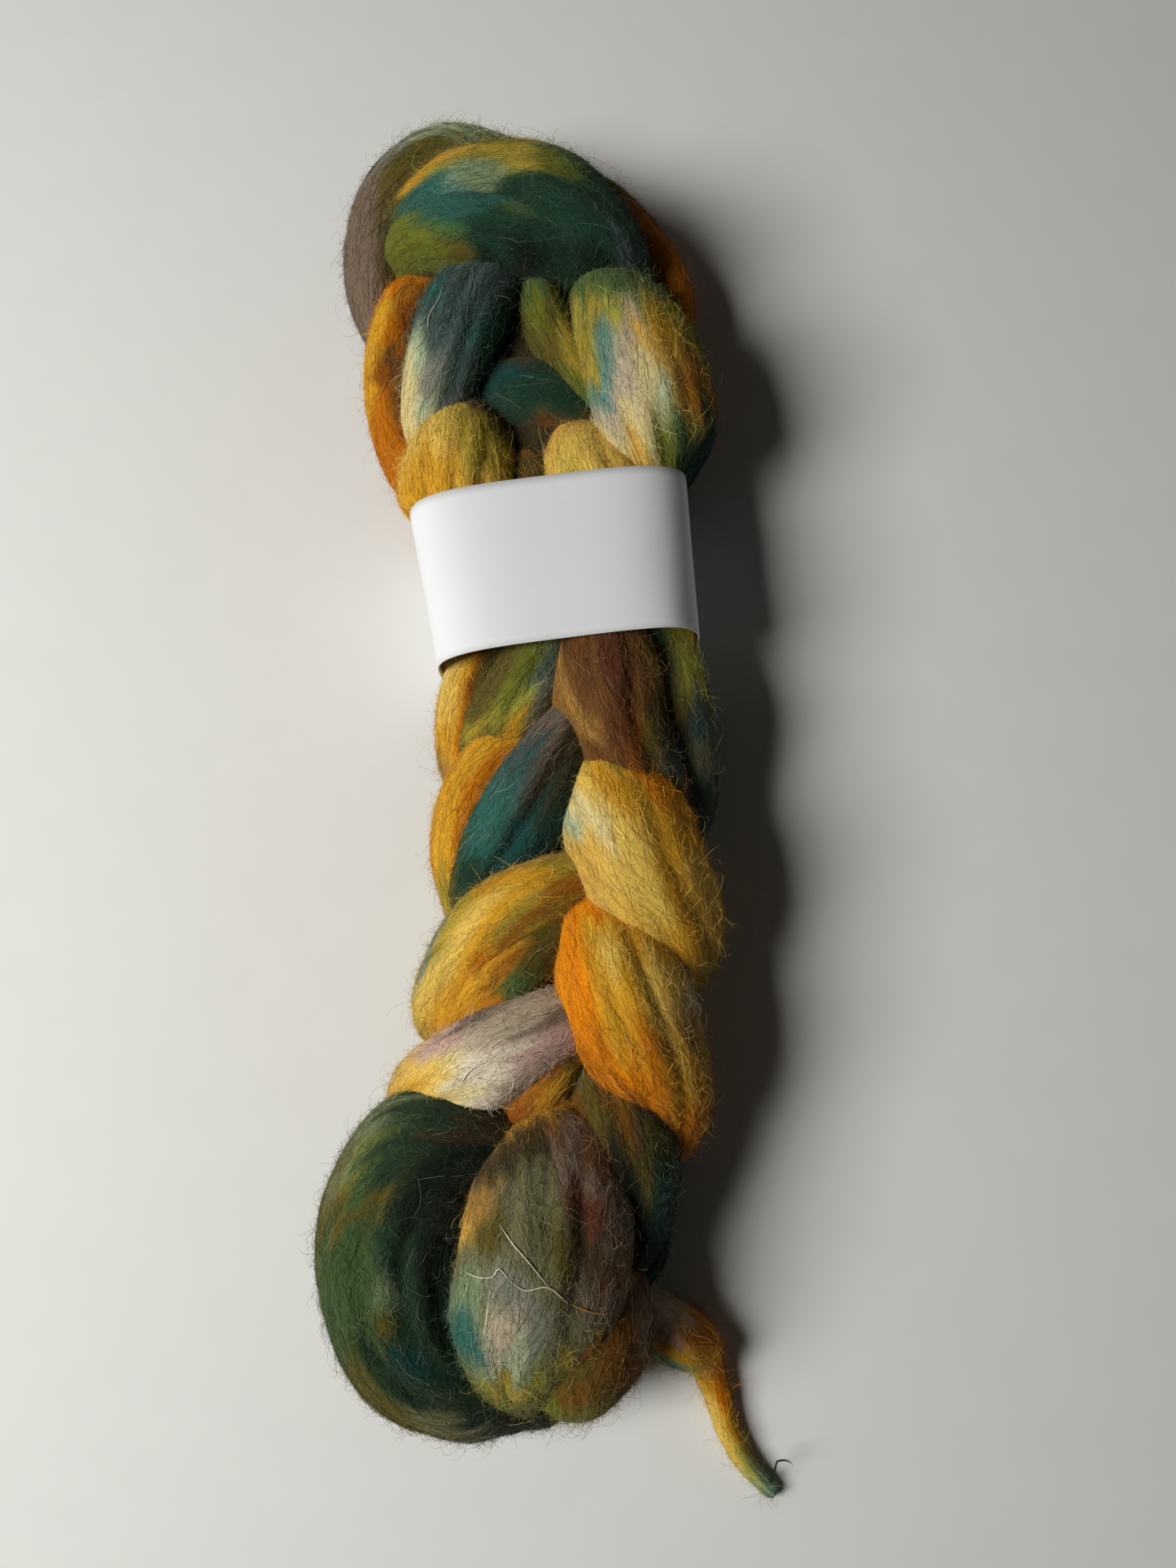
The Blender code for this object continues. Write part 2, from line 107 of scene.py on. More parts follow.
# Bundles that don't follow the plain leg: the top knot with the first stitch below it, the swelling
# above the band, the last loop and the loose end.
# columns: x, y, z, width, thickness
ROUTES = {
    "cap_upper": (
        (-54, 161, 27, 20, 20), (-51, 168, 35, 24, 24), (-37, 174, 41, 28, 28), (-20, 174, 43, 31, 30),
        (-6, 167, 43, 31, 30), (4, 157, 40, 28, 28), (9, 147, 32, 24, 22),
    ),
    "cap_lower": (
        (-54, 162, 28, 18, 20), (-50, 163, 37, 21, 22), (-36, 161, 43, 24, 24), (-21, 158, 44, 24, 24),
        (-7, 156, 41, 22, 23), (5, 154, 33, 18, 20),
    ),
    "ring": (
        (-54, 134, 12, 13, 16), (-61, 143, 17, 17, 21), (-64, 158, 23, 22, 26), (-60, 176, 27, 24, 28),
        (-48, 189, 29, 25, 28), (-33, 192, 28, 25, 28), (-14, 185, 25, 24, 28), (3, 176, 22, 24, 28),
        (15, 164, 20, 24, 27), (21, 150, 19, 24, 26), (22, 136, 16, 20, 22),
    ),
    "side_strand": (
        (-49, 154, 26, 14, 16), (-55, 144, 28, 17, 20), (-58, 129, 26, 17, 23), (-57, 113, 22, 17, 24),
        (-52, 99, 18, 16, 23), (-46, 88, 14, 14, 18),
    ),
    "side_strand_inner": (
        (-44, 153, 26, 12, 16), (-50, 140, 29, 12, 20), (-52, 126, 27, 12, 20), (-50, 112, 20, 12, 18),
    ),
    "inner_cross": (
        (-36, 118, 24, 20, 20), (-21, 115, 32, 24, 22), (-7, 111, 32, 24, 22), (6, 106, 26, 20, 20),
    ),
    "inner_rise": (
        (-24, 150, 24, 16, 18), (-17, 133, 27, 20, 20), (-9, 122, 25, 16, 18),
    ),
    "left_1": (
        (-29, 162, 24, 28, 18), (-32, 150, 33, 31, 22), (-37, 136, 41, 27, 25), (-42, 122, 40, 24, 24),
        (-47, 110, 31, 20, 21), (-49, 101, 19, 17, 17),
    ),
    "right_1_inner": (
        (-18, 158, 28, 13, 16), (-16, 148, 35, 14, 19), (-11, 132, 38, 15, 20), (-3, 115, 35, 14, 20),
        (6, 101, 27, 12, 18),
    ),
    "right_1": (
        (2, 155, 14, 34, 22), (6, 146, 25, 38, 27), (13, 129, 40, 37, 33), (18, 113, 41, 37, 34),
        (21, 101, 37, 37, 34), (24, 91, 25, 34, 32), (26, 83, 13, 30, 26),
    ),
    "left_2": (
        (-36, 101, 23, 36, 28), (-38, 94, 28, 40, 34), (-39, 86, 30, 41, 36), (-38, 78, 28, 39, 34),
        (-36, 70, 25, 33, 28),
    ),
    "middle_2": (
        (-15, 99, 22, 12, 18), (-15, 91, 29, 13, 20), (-15, 82, 32, 13, 20), (-16, 74, 29, 12, 18),
    ),
    "right_2": (
        (-1, 102, 22, 26, 20), (0, 95, 29, 29, 25), (2, 87, 35, 30, 28), (6, 79, 36, 28, 28),
        (12, 70, 30, 24, 26),
    ),
    "end_loop": (
        (-16, -103, 26, 18, 20), (-29, -102, 36, 28, 30), (-42, -107, 37, 38, 40),
        (-50, -122, 32, 40, 45), (-52, -142, 29, 40, 45), (-46, -160, 25, 38, 41),
        (-34, -170, 21, 30, 34), (-20, -174, 17, 24, 28), (-8, -171, 14, 18, 22),
    ),
    "end_bundle": (
        (-11, -102, 39, 28, 22), (-10, -107, 43, 38, 26), (-10, -116, 45, 43, 29),
        (-11, -130, 46, 47, 31), (-14, -146, 42, 47, 33), (-17, -157, 34, 38, 32),
        (-20, -167, 24, 28, 26),
    ),
    "end_bundle_side": (
        (-13, -167, 19, 22, 22), (-4, -164, 27, 31, 30), (2, -155, 31, 33, 31), (4, -146, 27, 26, 26),
        (3, -137, 21, 18, 20),
    ),
    "loose_end": (
        (2, -148, 12, 24, 18), (10, -154, 12, 28, 19), (23, -161, 11, 29, 16), (32, -166, 8.5, 22, 13),
        (35, -173, 6.5, 11, 9), (38, -182, 5, 7.5, 7.5), (41, -192, 4, 6.4, 6.4),
        (46.5, -201, 3.2, 5.4, 5.4), (53, -208, 2.6, 4.6, 4.6),
    ),
}

# The bumps on the back of the chain, one under each stitch, with the dye that each one shows.
# columns: y, half length across, width along y, dye, second dye
BACK_BUMPS = (
    (168, 26, 28, "moss", "slate"),
    (140, 27, 30, "teal", "bottle"),
    (113, 27, 30, "amber", "gold"),
    (85, 26, 30, "gold", "straw"),
    (56, 26, 30, "cream", "moss"),
    (27, 24, 30, "brown", "mauve"),
    (-2, 24, 30, "slate", "teal"),
    (-31, 24, 30, "gold", "orange"),
    (-59, 24, 30, "straw", "pale_gold"),
    (-87, 26, 30, "amber", "taupe"),
    (-115, 28, 30, "olive", "gold"),
    (-143, 28, 30, "leaf", "bottle"),
)
BUMP_Z = 10
BUMP_RISE = 3
BUMP_LEAN = 4
BUMP_THICK = 26
BUMP_END_WIDTH = 0.8
BUMP_END_THICK = 0.75

# The paper sleeve, whose lower end is a little narrower and taller than its upper end.
BAND_CENTRE = (-8.6, 56.0)
BAND_TURN = math.radians(7.4)
BAND_LENGTH = 48.0
BAND_UPPER_HALF_WIDTH = 41.5
BAND_LOWER_HALF_WIDTH = 38.5
BAND_UPPER_TOP = 56.0
BAND_LOWER_TOP = 59.0
BAND_MIDDLE_Z = 30.0
BAND_BELOW_TABLE = 2.5
BAND_SQUARENESS = 3.6
BAND_SOLID_AROUND = 72
PAPER_THICK = 0.35
PAPER_AROUND = 180
PAPER_ALONG = 18
PAPER_WAVE = 0.35
PAPER_WAVE_CELLS = (2, 14)
PAPER_GIRTH = 250
FIBRE_CLEARANCE = 0.9
STRAND_CLEARANCE = 0.35
BAND_FREE_END = 2.0
BAND_BULGE_SLOPE = 0.9
BAND_REACH = 20.0
# The sleeve's taper goes on this far past its ends, as shares of its length from its lower end.
BAND_SHARES = (-0.5, 1.5)

# How finely a bundle is drawn, and its relief: round locks with narrow furrows between them.
ALONG_STEP = 1.5
AROUND_STEP = 1.4
BACK_STEP = 3.0
TIP_RINGS = 7
TIP_OPENING = 0.2
COLUMN_LIMITS = (24, 110)
FLOW_SPACING = 53.0
# columns: lock width, lock length, height
RELIEF = ((12.0, 60.0, 0.7), (5.0, 38.0, 0.2))
LOCK_DRIFT = 0.25
LOCK_GAIN = 1.7
LOCK_FLOOR = 0.6
LEAST_LOCKS_AROUND = 5
LEAST_CELLS_ALONG = 2
DRIFT_CELLS = 5
LUMP_SIZE = 16.0
LUMP_HEIGHT = 0.7
LEAST_LUMPS_AROUND = 4
TABLE_GAP = 0.05

# What tells whether a point lies inside a bundle, and so whether fibre shows there.
HOLD_STRIDE = 2
INSIDE_SHARE = 0.9
OPEN_LIFT = 0.4
OPEN_UNDER_BAND = 3.0

# Dyes seen on the fibre, as plain screen colours. Some of the dark ones also stand for painted shade on a
# few bundles.
DYES = {
    "gold": (210, 156, 38),
    "pale_gold": (222, 186, 86),
    "mustard": (168, 146, 50),
    "cream": (216, 200, 142),
    "white": (222, 210, 188),
    "straw": (214, 170, 72),
    "tan": (162, 120, 58),
    "orange": (222, 132, 10),
    "amber": (190, 112, 12),
    "ochre": (164, 104, 26),
    "russet": (112, 70, 18),
    "rust": (134, 72, 16),
    "brown": (102, 66, 32),
    "burgundy": (100, 54, 38),
    "umber": (62, 52, 32),
    "taupe": (184, 168, 144),
    "pink": (194, 162, 150),
    "mauve": (120, 102, 86),
    "grey": (126, 128, 112),
    "pale_sage": (172, 182, 146),
    "sage": (118, 134, 98),
    "moss": (104, 108, 36),
    "lime": (170, 164, 62),
    "drab": (110, 108, 76),
    "olive": (90, 80, 30),
    "fern": (60, 82, 46),
    "pine": (32, 54, 36),
    "leaf": (72, 100, 56),
    "bottle": (28, 58, 42),
    "ink": (16, 30, 22),
    "teal": (46, 96, 86),
    "deep_teal": (24, 66, 62),
    "slate": (66, 84, 80),
    "sea": (94, 136, 126),
}

# How a dye's edge is drawn out by noise, and how quickly one dye gives way to the next.
# columns: cells along, times coarser around, share added to the place, share added to the across
DYE_FEATHERS = ((5, 1, 0.055, 0.0), (4, 4, 0.05, 0.0), (6, 5, 0.0, 0.05))
FEATHER_COLUMNS = 1.6
FEATHER_LEAST_CELLS = 12
FEATHER_COARSEST = 5
DYE_LENGTHWISE = 2.6
DYE_SPOT_SIZE = 0.0012
DYE_SHARPNESS = 2.2

# Where each dye lies on a bundle, in hundredths: its place from the bundle's first station to its last,
# and then across its outer side. A bundle that runs down the braid has 0 at its left.
# Some spots on a few bundles are painted shade, and a few on the cap are a painted sheen; each is noted at
# its bundle.
DYE_AND_PAINTED_LIGHT_SPOTS = {
    # The pale sea and sage spots near the cap's middle are a painted sheen on its teal and bottle dye.
    "cap_upper": """
        0 50 moss, 14 40 moss, 14 85 umber, 22 90 olive, 24 50 teal, 30 52 teal, 31 72 gold, 36 34 sea,
        38 70 mustard, 40 92 moss, 40 42 sage, 45 30 sage, 48 54 mustard, 50 78 mustard, 50 10 bottle,
        56 66 moss, 57 30 bottle, 58 85 leaf, 62 50 bottle, 68 33 bottle, 68 70 bottle, 75 46 bottle,
        78 85 bottle, 85 30 ink, 85 61 slate, 100 50 ink""",
    "cap_lower": """
        0 50 moss, 17 30 moss, 20 46 moss, 26 60 teal, 26 85 teal, 27 15 moss, 36 25 leaf, 37 8 olive,
        38 46 teal, 38 75 teal, 48 66 teal, 50 26 bottle, 50 8 ink, 56 20 bottle, 56 45 bottle,
        62 70 leaf, 68 13 ink, 70 40 bottle, 76 15 bottle, 80 60 bottle, 100 50 ink""",
    "ring": """
        0 50 umber, 10 30 brown, 12 80 mauve, 20 30 umber, 20 75 mauve, 27 40 olive, 27 80 mauve,
        34 58 olive, 34 85 grey, 39 56 olive, 40 95 pale_sage, 43 78 pale_sage, 46 60 sage, 48 85 sage,
        52 60 olive, 62 50 umber, 70 50 umber, 76 70 amber, 82 75 amber, 86 50 rust, 92 70 amber,
        100 50 umber""",
    "side_strand": """
        0 30 orange, 18 13 orange, 18 36 ochre, 26 12 gold, 30 55 rust, 34 15 gold, 34 36 amber,
        42 10 gold, 45 45 brown, 49 27 rust, 55 10 gold, 57 25 amber, 60 50 brown, 70 20 amber,
        72 45 rust, 85 30 amber, 100 50 amber""",
    "side_strand_inner": """
        10 40 rust, 40 40 brown, 60 50 umber, 80 50 olive""",
    # The bottle, deep teal and ink here are partly dye and partly painted shade: the bundle lies in shadow
    # between those round it, so its teal is darkened.
    "inner_cross": """
        10 50 ink, 33 60 deep_teal, 37 85 umber, 47 34 bottle, 50 65 bottle, 60 8 brown, 62 40 bottle,
        75 15 brown, 90 60 ink""",
    # The ink and umber on this low bundle between left_1 and right_1_inner are painted shade for the gap it
    # fills.
    "inner_rise": """
        20 50 ink, 46 30 umber, 70 60 umber""",
    "left_1": """
        0 50 ink, 25 50 slate, 33 68 slate, 38 42 slate, 42 18 teal, 46 63 slate, 48 14 slate,
        52 90 teal, 55 36 slate, 56 10 slate, 60 70 slate, 62 20 pale_sage, 66 44 grey, 69 20 cream,
        70 85 slate, 76 22 cream, 76 50 pale_sage, 76 80 grey, 84 30 cream, 90 60 straw, 100 40 straw""",
    "right_1_inner": """
        10 50 bottle, 32 50 leaf, 43 43 moss, 48 55 olive, 50 85 moss, 60 68 mustard, 62 22 olive,
        68 70 mustard, 75 38 moss, 80 40 leaf, 80 75 moss, 100 50 leaf""",
    "right_1": """
        10 50 bottle, 22 50 leaf, 28 20 leaf, 30 50 leaf, 30 80 leaf, 33 16 mustard, 35 34 lime,
        37 42 taupe, 37 61 mustard, 37 80 mustard, 38 94 moss, 39 2 mustard, 40 14 sea, 42 33 taupe,
        43 45 straw, 43 66 gold, 46 90 mustard, 48 10 sea, 49 24 taupe, 50 38 cream, 52 62 straw,
        56 14 taupe, 57 40 cream, 57 85 ochre, 60 54 pale_sage, 60 66 straw, 64 32 cream, 65 14 cream,
        69 20 straw, 69 46 moss, 69 68 leaf, 74 90 bottle, 80 98 deep_teal, 80 40 olive, 100 60 bottle""",
    "left_2": """
        10 50 umber, 20 28 pale_gold, 21 90 olive, 24 56 mustard, 34 64 mustard, 38 17 pale_gold,
        40 40 pale_gold, 46 82 mustard, 50 37 gold, 58 64 straw, 60 20 gold, 75 30 gold, 80 70 mustard,
        92 50 ochre""",
    "middle_2": """
        30 30 tan, 45 50 olive, 70 50 brown""",
    "right_2": """
        10 50 rust, 30 30 straw, 43 50 pale_gold, 45 80 pale_gold, 50 22 pale_gold, 60 42 pale_gold,
        58 74 pale_gold, 70 20 lime, 80 60 straw""",
    "left_3": """50 50 gold""",
    "right_3": """
        30 50 straw, 58 30 teal, 66 35 leaf, 69 60 lime, 75 80 pale_gold, 85 60 lime, 100 60 leaf""",
    "left_4_outer": """
        30 30 cream, 44 50 olive, 46 10 cream, 48 15 pale_gold, 49 28 gold, 50 42 rust,
        53 16 pale_gold, 57 38 amber, 58 18 gold, 64 20 tan, 70 40 brown, 80 40 umber""",
    "left_4_inner": """
        20 50 olive, 43 15 olive, 43 46 moss, 43 66 slate, 46 75 grey, 48 58 lime, 50 20 olive,
        50 48 moss, 54 48 lime, 55 28 olive, 58 74 gold, 60 38 mustard, 60 54 olive, 70 50 umber,
        100 50 olive""",
    "right_4_inner": """
        20 50 brown, 40 20 brown, 42 40 brown, 44 54 burgundy, 45 78 brown, 44 92 tan, 49 20 tan,
        50 42 brown, 50 94 olive, 52 54 burgundy, 52 74 brown, 54 25 brown, 57 40 brown, 57 90 umber,
        60 57 rust, 62 78 olive, 66 90 slate, 68 40 umber, 80 60 umber""",
    "right_4_outer": """
        20 50 olive, 36 50 drab, 40 83 lime, 44 60 olive, 50 60 umber, 52 76 slate, 60 50 grey,
        61 74 drab, 67 77 slate, 80 50 teal, 90 60 deep_teal""",
    "left_5_inner": """
        15 50 umber, 34 15 mauve, 34 55 umber, 40 16 mauve, 39 36 mauve, 42 62 umber, 45 17 slate,
        44 32 slate, 47 64 deep_teal, 49 34 teal, 51 70 deep_teal, 52 10 teal, 55 43 teal, 58 20 teal,
        58 75 deep_teal, 60 46 bottle, 64 33 bottle, 72 10 olive, 75 50 bottle""",
    "left_5_outer": """
        30 40 gold, 42 20 gold, 42 45 amber, 46 14 gold, 47 40 amber, 51 20 gold, 53 40 amber,
        56 20 gold, 61 24 gold, 62 42 amber, 70 20 mustard, 80 50 olive""",
    "right_5": """
        20 50 olive, 34 50 mustard, 39 46 gold, 40 27 pale_gold, 42 56 gold, 42 72 orange, 44 18 cream,
        44 41 gold, 46 8 pale_sage, 46 28 cream, 46 67 gold, 49 43 pale_gold, 51 10 straw, 52 75 gold,
        53 28 pale_gold, 53 45 pale_gold, 53 90 gold, 57 42 pale_gold, 57 76 gold, 60 54 gold,
        61 84 pale_gold, 65 53 gold, 66 80 straw, 72 50 straw, 80 60 olive""",
    "left_6_upper": """
        20 50 umber, 31 63 ochre, 32 30 mustard, 37 88 mustard, 39 26 gold, 41 76 ochre, 43 16 gold,
        44 62 mustard, 46 40 gold, 48 17 gold, 48 80 ochre, 50 26 pale_gold, 50 54 gold, 51 10 mustard,
        54 27 pale_gold, 54 66 amber, 57 14 mustard, 58 32 pale_gold, 60 8 grey, 62 60 gold,
        65 22 pale_gold, 70 50 gold, 85 50 olive""",
    "left_6_lower": """
        20 50 umber, 34 45 rust, 40 40 olive, 43 52 olive, 47 64 olive, 50 27 gold, 52 70 leaf,
        54 44 ochre, 61 34 gold, 62 70 amber, 75 50 amber""",
    "right_6": """
        20 50 rust, 35 45 orange, 36 30 orange, 40 62 gold, 41 46 gold, 43 20 orange, 43 70 gold,
        44 44 pale_gold, 44 32 gold, 47 68 pale_gold, 48 43 pale_gold, 49 16 orange, 50 82 pale_gold,
        51 30 gold, 52 50 gold, 53 92 taupe, 54 18 amber, 54 66 pale_gold, 57 30 orange, 58 87 tan,
        60 52 amber, 61 15 amber, 62 78 straw, 64 24 rust, 65 64 gold, 67 50 rust, 72 66 amber,
        85 50 rust""",
    "left_7_upper": """
        15 50 umber, 31 42 mauve, 34 20 taupe, 34 66 pink, 38 38 taupe, 38 74 pink, 40 12 taupe,
        40 62 white, 44 27 taupe, 44 88 taupe, 45 64 white, 47 4 mauve, 48 18 pink, 48 48 white,
        50 84 white, 51 34 cream, 51 66 cream, 54 10 pink, 57 30 pale_gold, 58 10 pink,
        60 55 pale_gold, 63 16 pale_gold, 70 40 gold, 85 50 olive""",
    "left_7_lower": """
        30 50 umber, 36 70 olive, 44 40 rust, 48 46 ochre, 49 80 gold, 60 50 rust, 80 50 umber""",
    "right_7_inner": """
        25 50 umber, 34 30 grey, 38 60 olive, 41 38 olive, 44 16 russet, 45 55 russet, 49 66 umber,
        50 30 olive, 54 22 burgundy, 54 70 olive, 56 52 ink, 57 78 bottle, 63 80 deep_teal,
        64 40 umber, 70 65 ink, 90 50 ink""",
    "right_7_outer": """
        20 50 olive, 50 50 bottle, 70 50 deep_teal, 90 50 ink""",
    "end_loop": """
        5 50 umber, 13 36 umber, 17 27 pine, 17 62 ink, 20 8 pine, 22 64 ink, 24 5 sage, 25 33 pine,
        27 13 moss, 29 6 drab, 29 24 fern, 29 36 olive, 29 54 ink, 30 72 ink, 32 10 olive, 35 23 olive,
        36 50 pine, 41 20 fern, 41 34 fern, 41 60 pine, 41 76 ink, 46 40 fern, 47 50 sage, 48 66 pine,
        50 15 fern, 50 31 fern, 53 34 fern, 54 46 olive, 56 60 pine, 59 14 olive, 59 32 pine,
        60 66 pine, 62 53 deep_teal, 66 15 olive, 66 30 pine, 68 47 pine, 72 24 drab, 74 45 pine,
        80 37 ink, 100 50 ink""",
    # Along its right side, the mauve, brown and umber spots are partly dye and partly painted shade, darker
    # where the light falls off.
    "end_bundle": """
        0 50 tan, 3 30 gold, 3 60 gold, 6 80 ochre, 9 22 tan, 12 55 brown, 14 75 mauve, 16 35 umber,
        20 60 mauve, 22 44 umber, 22 82 brown, 26 20 umber, 27 70 mauve, 30 42 drab, 33 90 mauve,
        35 74 burgundy, 36 8 tan, 36 28 drab, 37 52 drab, 42 5 straw, 43 20 olive, 43 40 drab,
        44 60 olive, 43 75 umber, 43 88 mauve, 49 33 grey, 49 52 drab, 50 74 mauve, 50 92 brown,
        50 12 drab, 56 88 mauve, 56 70 drab, 56 46 grey, 56 14 sage, 57 32 taupe, 62 56 grey,
        62 36 taupe, 62 84 drab, 62 12 sage, 65 70 drab, 66 20 teal, 67 43 pale_sage, 70 10 teal,
        72 28 sage, 70 56 sage, 70 72 mustard, 70 88 ochre, 74 42 mustard, 76 70 moss, 80 56 mustard,
        88 50 moss, 100 50 olive""",
    "end_bundle_side": """
        10 50 moss, 28 36 moss, 34 36 russet, 38 20 olive, 41 8 russet, 44 54 olive, 47 36 russet,
        50 12 russet, 55 34 russet, 60 60 brown, 62 2 mauve, 90 50 brown""",
    "loose_end": """
        5 50 mauve, 12 80 mauve, 14 55 taupe, 15 25 mustard, 20 10 sage, 22 80 taupe, 24 60 pink,
        26 36 gold, 28 12 sea, 32 75 amber, 33 45 gold, 36 15 lime, 40 70 gold, 44 40 gold,
        50 75 orange, 52 30 gold, 60 60 orange, 64 20 pale_gold, 70 65 gold, 76 35 pale_gold,
        80 70 gold, 86 50 lime, 91 50 pale_sage, 96 60 sea, 100 50 teal""",
    # The hidden heart shows only in the gaps between bundles, and its dark umber is painted shade there.
    "core": """50 50 umber""",
}

# Deeper creases between locks, at a place across the bundle.
# columns: bundle, across, first place, last place, depth, half width
FOLDS = (
    ("cap_upper", 0.3, 0.2, 0.8, 1.6, 0.07),
    ("cap_upper", 0.66, 0.3, 0.9, 1.0, 0.06),
    ("cap_lower", 0.6, 0.3, 0.8, 1.2, 0.07),
    ("left_1", 0.28, 0.2, 0.75, 1.4, 0.06),
    ("left_1", 0.52, 0.15, 0.7, 1.6, 0.06),
    ("left_1", 0.74, 0.3, 0.8, 1.2, 0.06),
    ("right_1", 0.2, 0.3, 0.85, 1.6, 0.05),
    ("right_1", 0.46, 0.45, 0.95, 1.4, 0.05),
    ("right_1", 0.72, 0.3, 0.9, 1.5, 0.05),
    ("left_2", 0.3, 0.3, 0.9, 1.8, 0.05),
    ("left_2", 0.55, 0.2, 0.8, 1.3, 0.05),
    ("left_2", 0.76, 0.2, 0.9, 1.6, 0.05),
    ("right_2", 0.35, 0.3, 0.9, 1.4, 0.06),
    ("right_2", 0.65, 0.3, 0.9, 1.4, 0.06),
    ("left_4_inner", 0.55, 0.3, 0.8, 1.4, 0.07),
    ("right_4_inner", 0.3, 0.35, 0.8, 1.0, 0.05),
    ("right_4_inner", 0.68, 0.3, 0.85, 2.0, 0.05),
    ("left_5_inner", 0.6, 0.3, 0.85, 2.6, 0.07),
    ("left_5_outer", 0.55, 0.35, 0.8, 1.2, 0.07),
    ("right_5", 0.4, 0.5, 0.85, 1.0, 0.06),
    ("right_5", 0.7, 0.4, 0.85, 1.2, 0.06),
    ("left_6_upper", 0.45, 0.4, 0.85, 1.0, 0.07),
    ("left_6_lower", 0.5, 0.35, 0.8, 1.6, 0.08),
    ("right_6", 0.38, 0.35, 0.8, 1.2, 0.05),
    ("right_6", 0.66, 0.3, 0.85, 2.0, 0.05),
    ("left_7_upper", 0.6, 0.3, 0.7, 1.2, 0.07),
    ("right_7_inner", 0.5, 0.3, 0.9, 1.4, 0.07),
    ("end_loop", 0.35, 0.2, 0.8, 1.8, 0.05),
    ("end_loop", 0.6, 0.15, 0.9, 2.2, 0.05),
    ("end_loop", 0.8, 0.3, 0.8, 1.6, 0.05),
    ("end_bundle", 0.28, 0.15, 0.6, 1.6, 0.05),
    ("end_bundle", 0.5, 0.1, 0.55, 1.8, 0.04),
    ("end_bundle", 0.72, 0.1, 0.75, 2.4, 0.05),
    ("end_bundle", 0.45, 0.6, 0.95, 1.6, 0.05),
    ("loose_end", 0.5, 0.1, 0.5, 1.0, 0.1),
)
FOLD_WANDER = 0.05
FOLD_CELLS = (7, 3)
FOLD_REACH = 1.15
FOLD_SHARPNESS = 1.5

# Which bundles make up each piece of the scene.
PIECES = {
    "top_knot": ("cap_upper", "cap_lower", "ring", "side_strand", "side_strand_inner"),
    "first_stitch": (
        "inner_cross", "inner_rise", "left_1", "right_1_inner", "right_1", "left_2", "middle_2",
        "right_2",
    ),
    "chain_stitches": tuple(row[0] for row in LEGS),
    "last_loop": ("end_loop", "end_bundle", "end_bundle_side"),
    "loose_fibre_end": ("loose_end",),
}

# The combed strands and the stray fibres over the bundles.
# columns: piece, strands, segments, shortest, longest, half width, lowest height, highest height
STRANDS = (
    ("combed_strands_1", 14000, 5, 6.0, 16.0, 0.07, 0.0, 0.3),
    ("combed_strands_2", 14000, 5, 4.0, 11.0, 0.05, 0.05, 0.6),
)
STRAND_TWIST = math.radians(50)
STRAND_WANDER = 2.6
STRAND_SWAY = 0.35
STRAND_HALF_WAVES = 3
STRAND_SINK = 0.06
STRAND_TAPER = 0.75
STRAND_WIDTHS = (0.6, 1.3)
STRAND_SHADE = 0.14
# Rows up or down the fibre that a strand's dye may come from.
DYE_DRIFT = 2.5
SILK_SHARE = 0.03
SILK_PALENESS = 0.45
BACK_FACING = -0.35
BACK_DENSITY = 0.35

# Stray fibres that stand off the surface: a short dense fuzz, and long ones that curl away from it.
# columns: piece, strays, segments, shortest, longest, highest lift, half width
STRAYS = (
    ("fuzz_1", 40000, 2, 1.5, 5.0, 1.6, 0.05),
    ("fuzz_2", 27000, 3, 2.0, 6.0, 2.8, 0.05),
    ("long_strays", 8000, 7, 5.0, 14.0, 4.5, 0.045),
)
STRAY_PALENESS = 0.14
STRAY_TURN = 0.9
STRAY_LOWNESS = 1.6
STRAY_CURL = 0.16
STRAY_PHASES = (0.6, 1.6)
STRAY_SHORTENING = 0.25
STRAY_SINK = 0.05
STRAY_TAPER = 0.6

# Silk threads that lie on the fibre, through points on a bundle.
# columns: bundle, dye, radius, points as place and degrees around from the bundle's left edge
SILK_THREADS = (
    ("end_bundle", "white", 0.2, ((0.42, 46), (0.45, 54), (0.48, 66), (0.51, 76), (0.535, 84))),
    ("end_bundle", "white", 0.2, ((0.55, 18), (0.545, 34), (0.535, 46), (0.515, 50), (0.535, 60))),
    ("end_bundle", "white", 0.2, ((0.535, 60), (0.545, 70), (0.535, 84), (0.57, 98))),
    ("end_bundle", "gold", 0.18, ((0.57, 98), (0.58, 108), (0.59, 118), (0.6, 130))),
    ("left_1", "white", 0.12, ((0.4, 100), (0.45, 106), (0.5, 102), (0.55, 108))),
    ("left_1", "white", 0.12, ((0.68, 96), (0.72, 90), (0.76, 98), (0.8, 92))),
    ("left_7_upper", "white", 0.16, ((0.47, 104), (0.5, 108), (0.52, 114), (0.53, 106))),
)
SILK_LIFT = 0.35
PLACE_UNITS = 100

# The dark wiry curl at the loose end's tip.
# columns: x, y, z
WISP = ((51, -206, 3), (53, -205, 5), (54, -201, 7), (54.5, -198, 9), (57, -197.5, 9.5), (59, -199, 8.5))
WISP_RADIUS = 0.28
CURVE_FINENESS = 4
TUBE_SIDES = 5
TUBE_UP = (0.3, 0.2, 0.93)
TUBE_TAPER = 4
TUBE_TIP = 0.15

# Colours and strengths that the materials share or that stand for the whole surface.
SHEEN_TINT = (1.0, 0.86, 0.6, 1.0)
NOISE_RANGE = (0.3, 0.7)
LOCK_BUMP = 1.5
PAPER_COLOUR = (0.77, 0.785, 0.8)
FLOOR_COLOUR = (0.76, 0.76, 0.735)

# The photograph's camera: it looks down on the table and leans a little towards the top of the braid.
PHOTO_SIZE = (1445, 1927)
FOCAL_PIXELS = 1447
CAMERA_TILT = math.radians(8)
CAMERA_DISTANCE = 375.0
SENSOR = 36.0

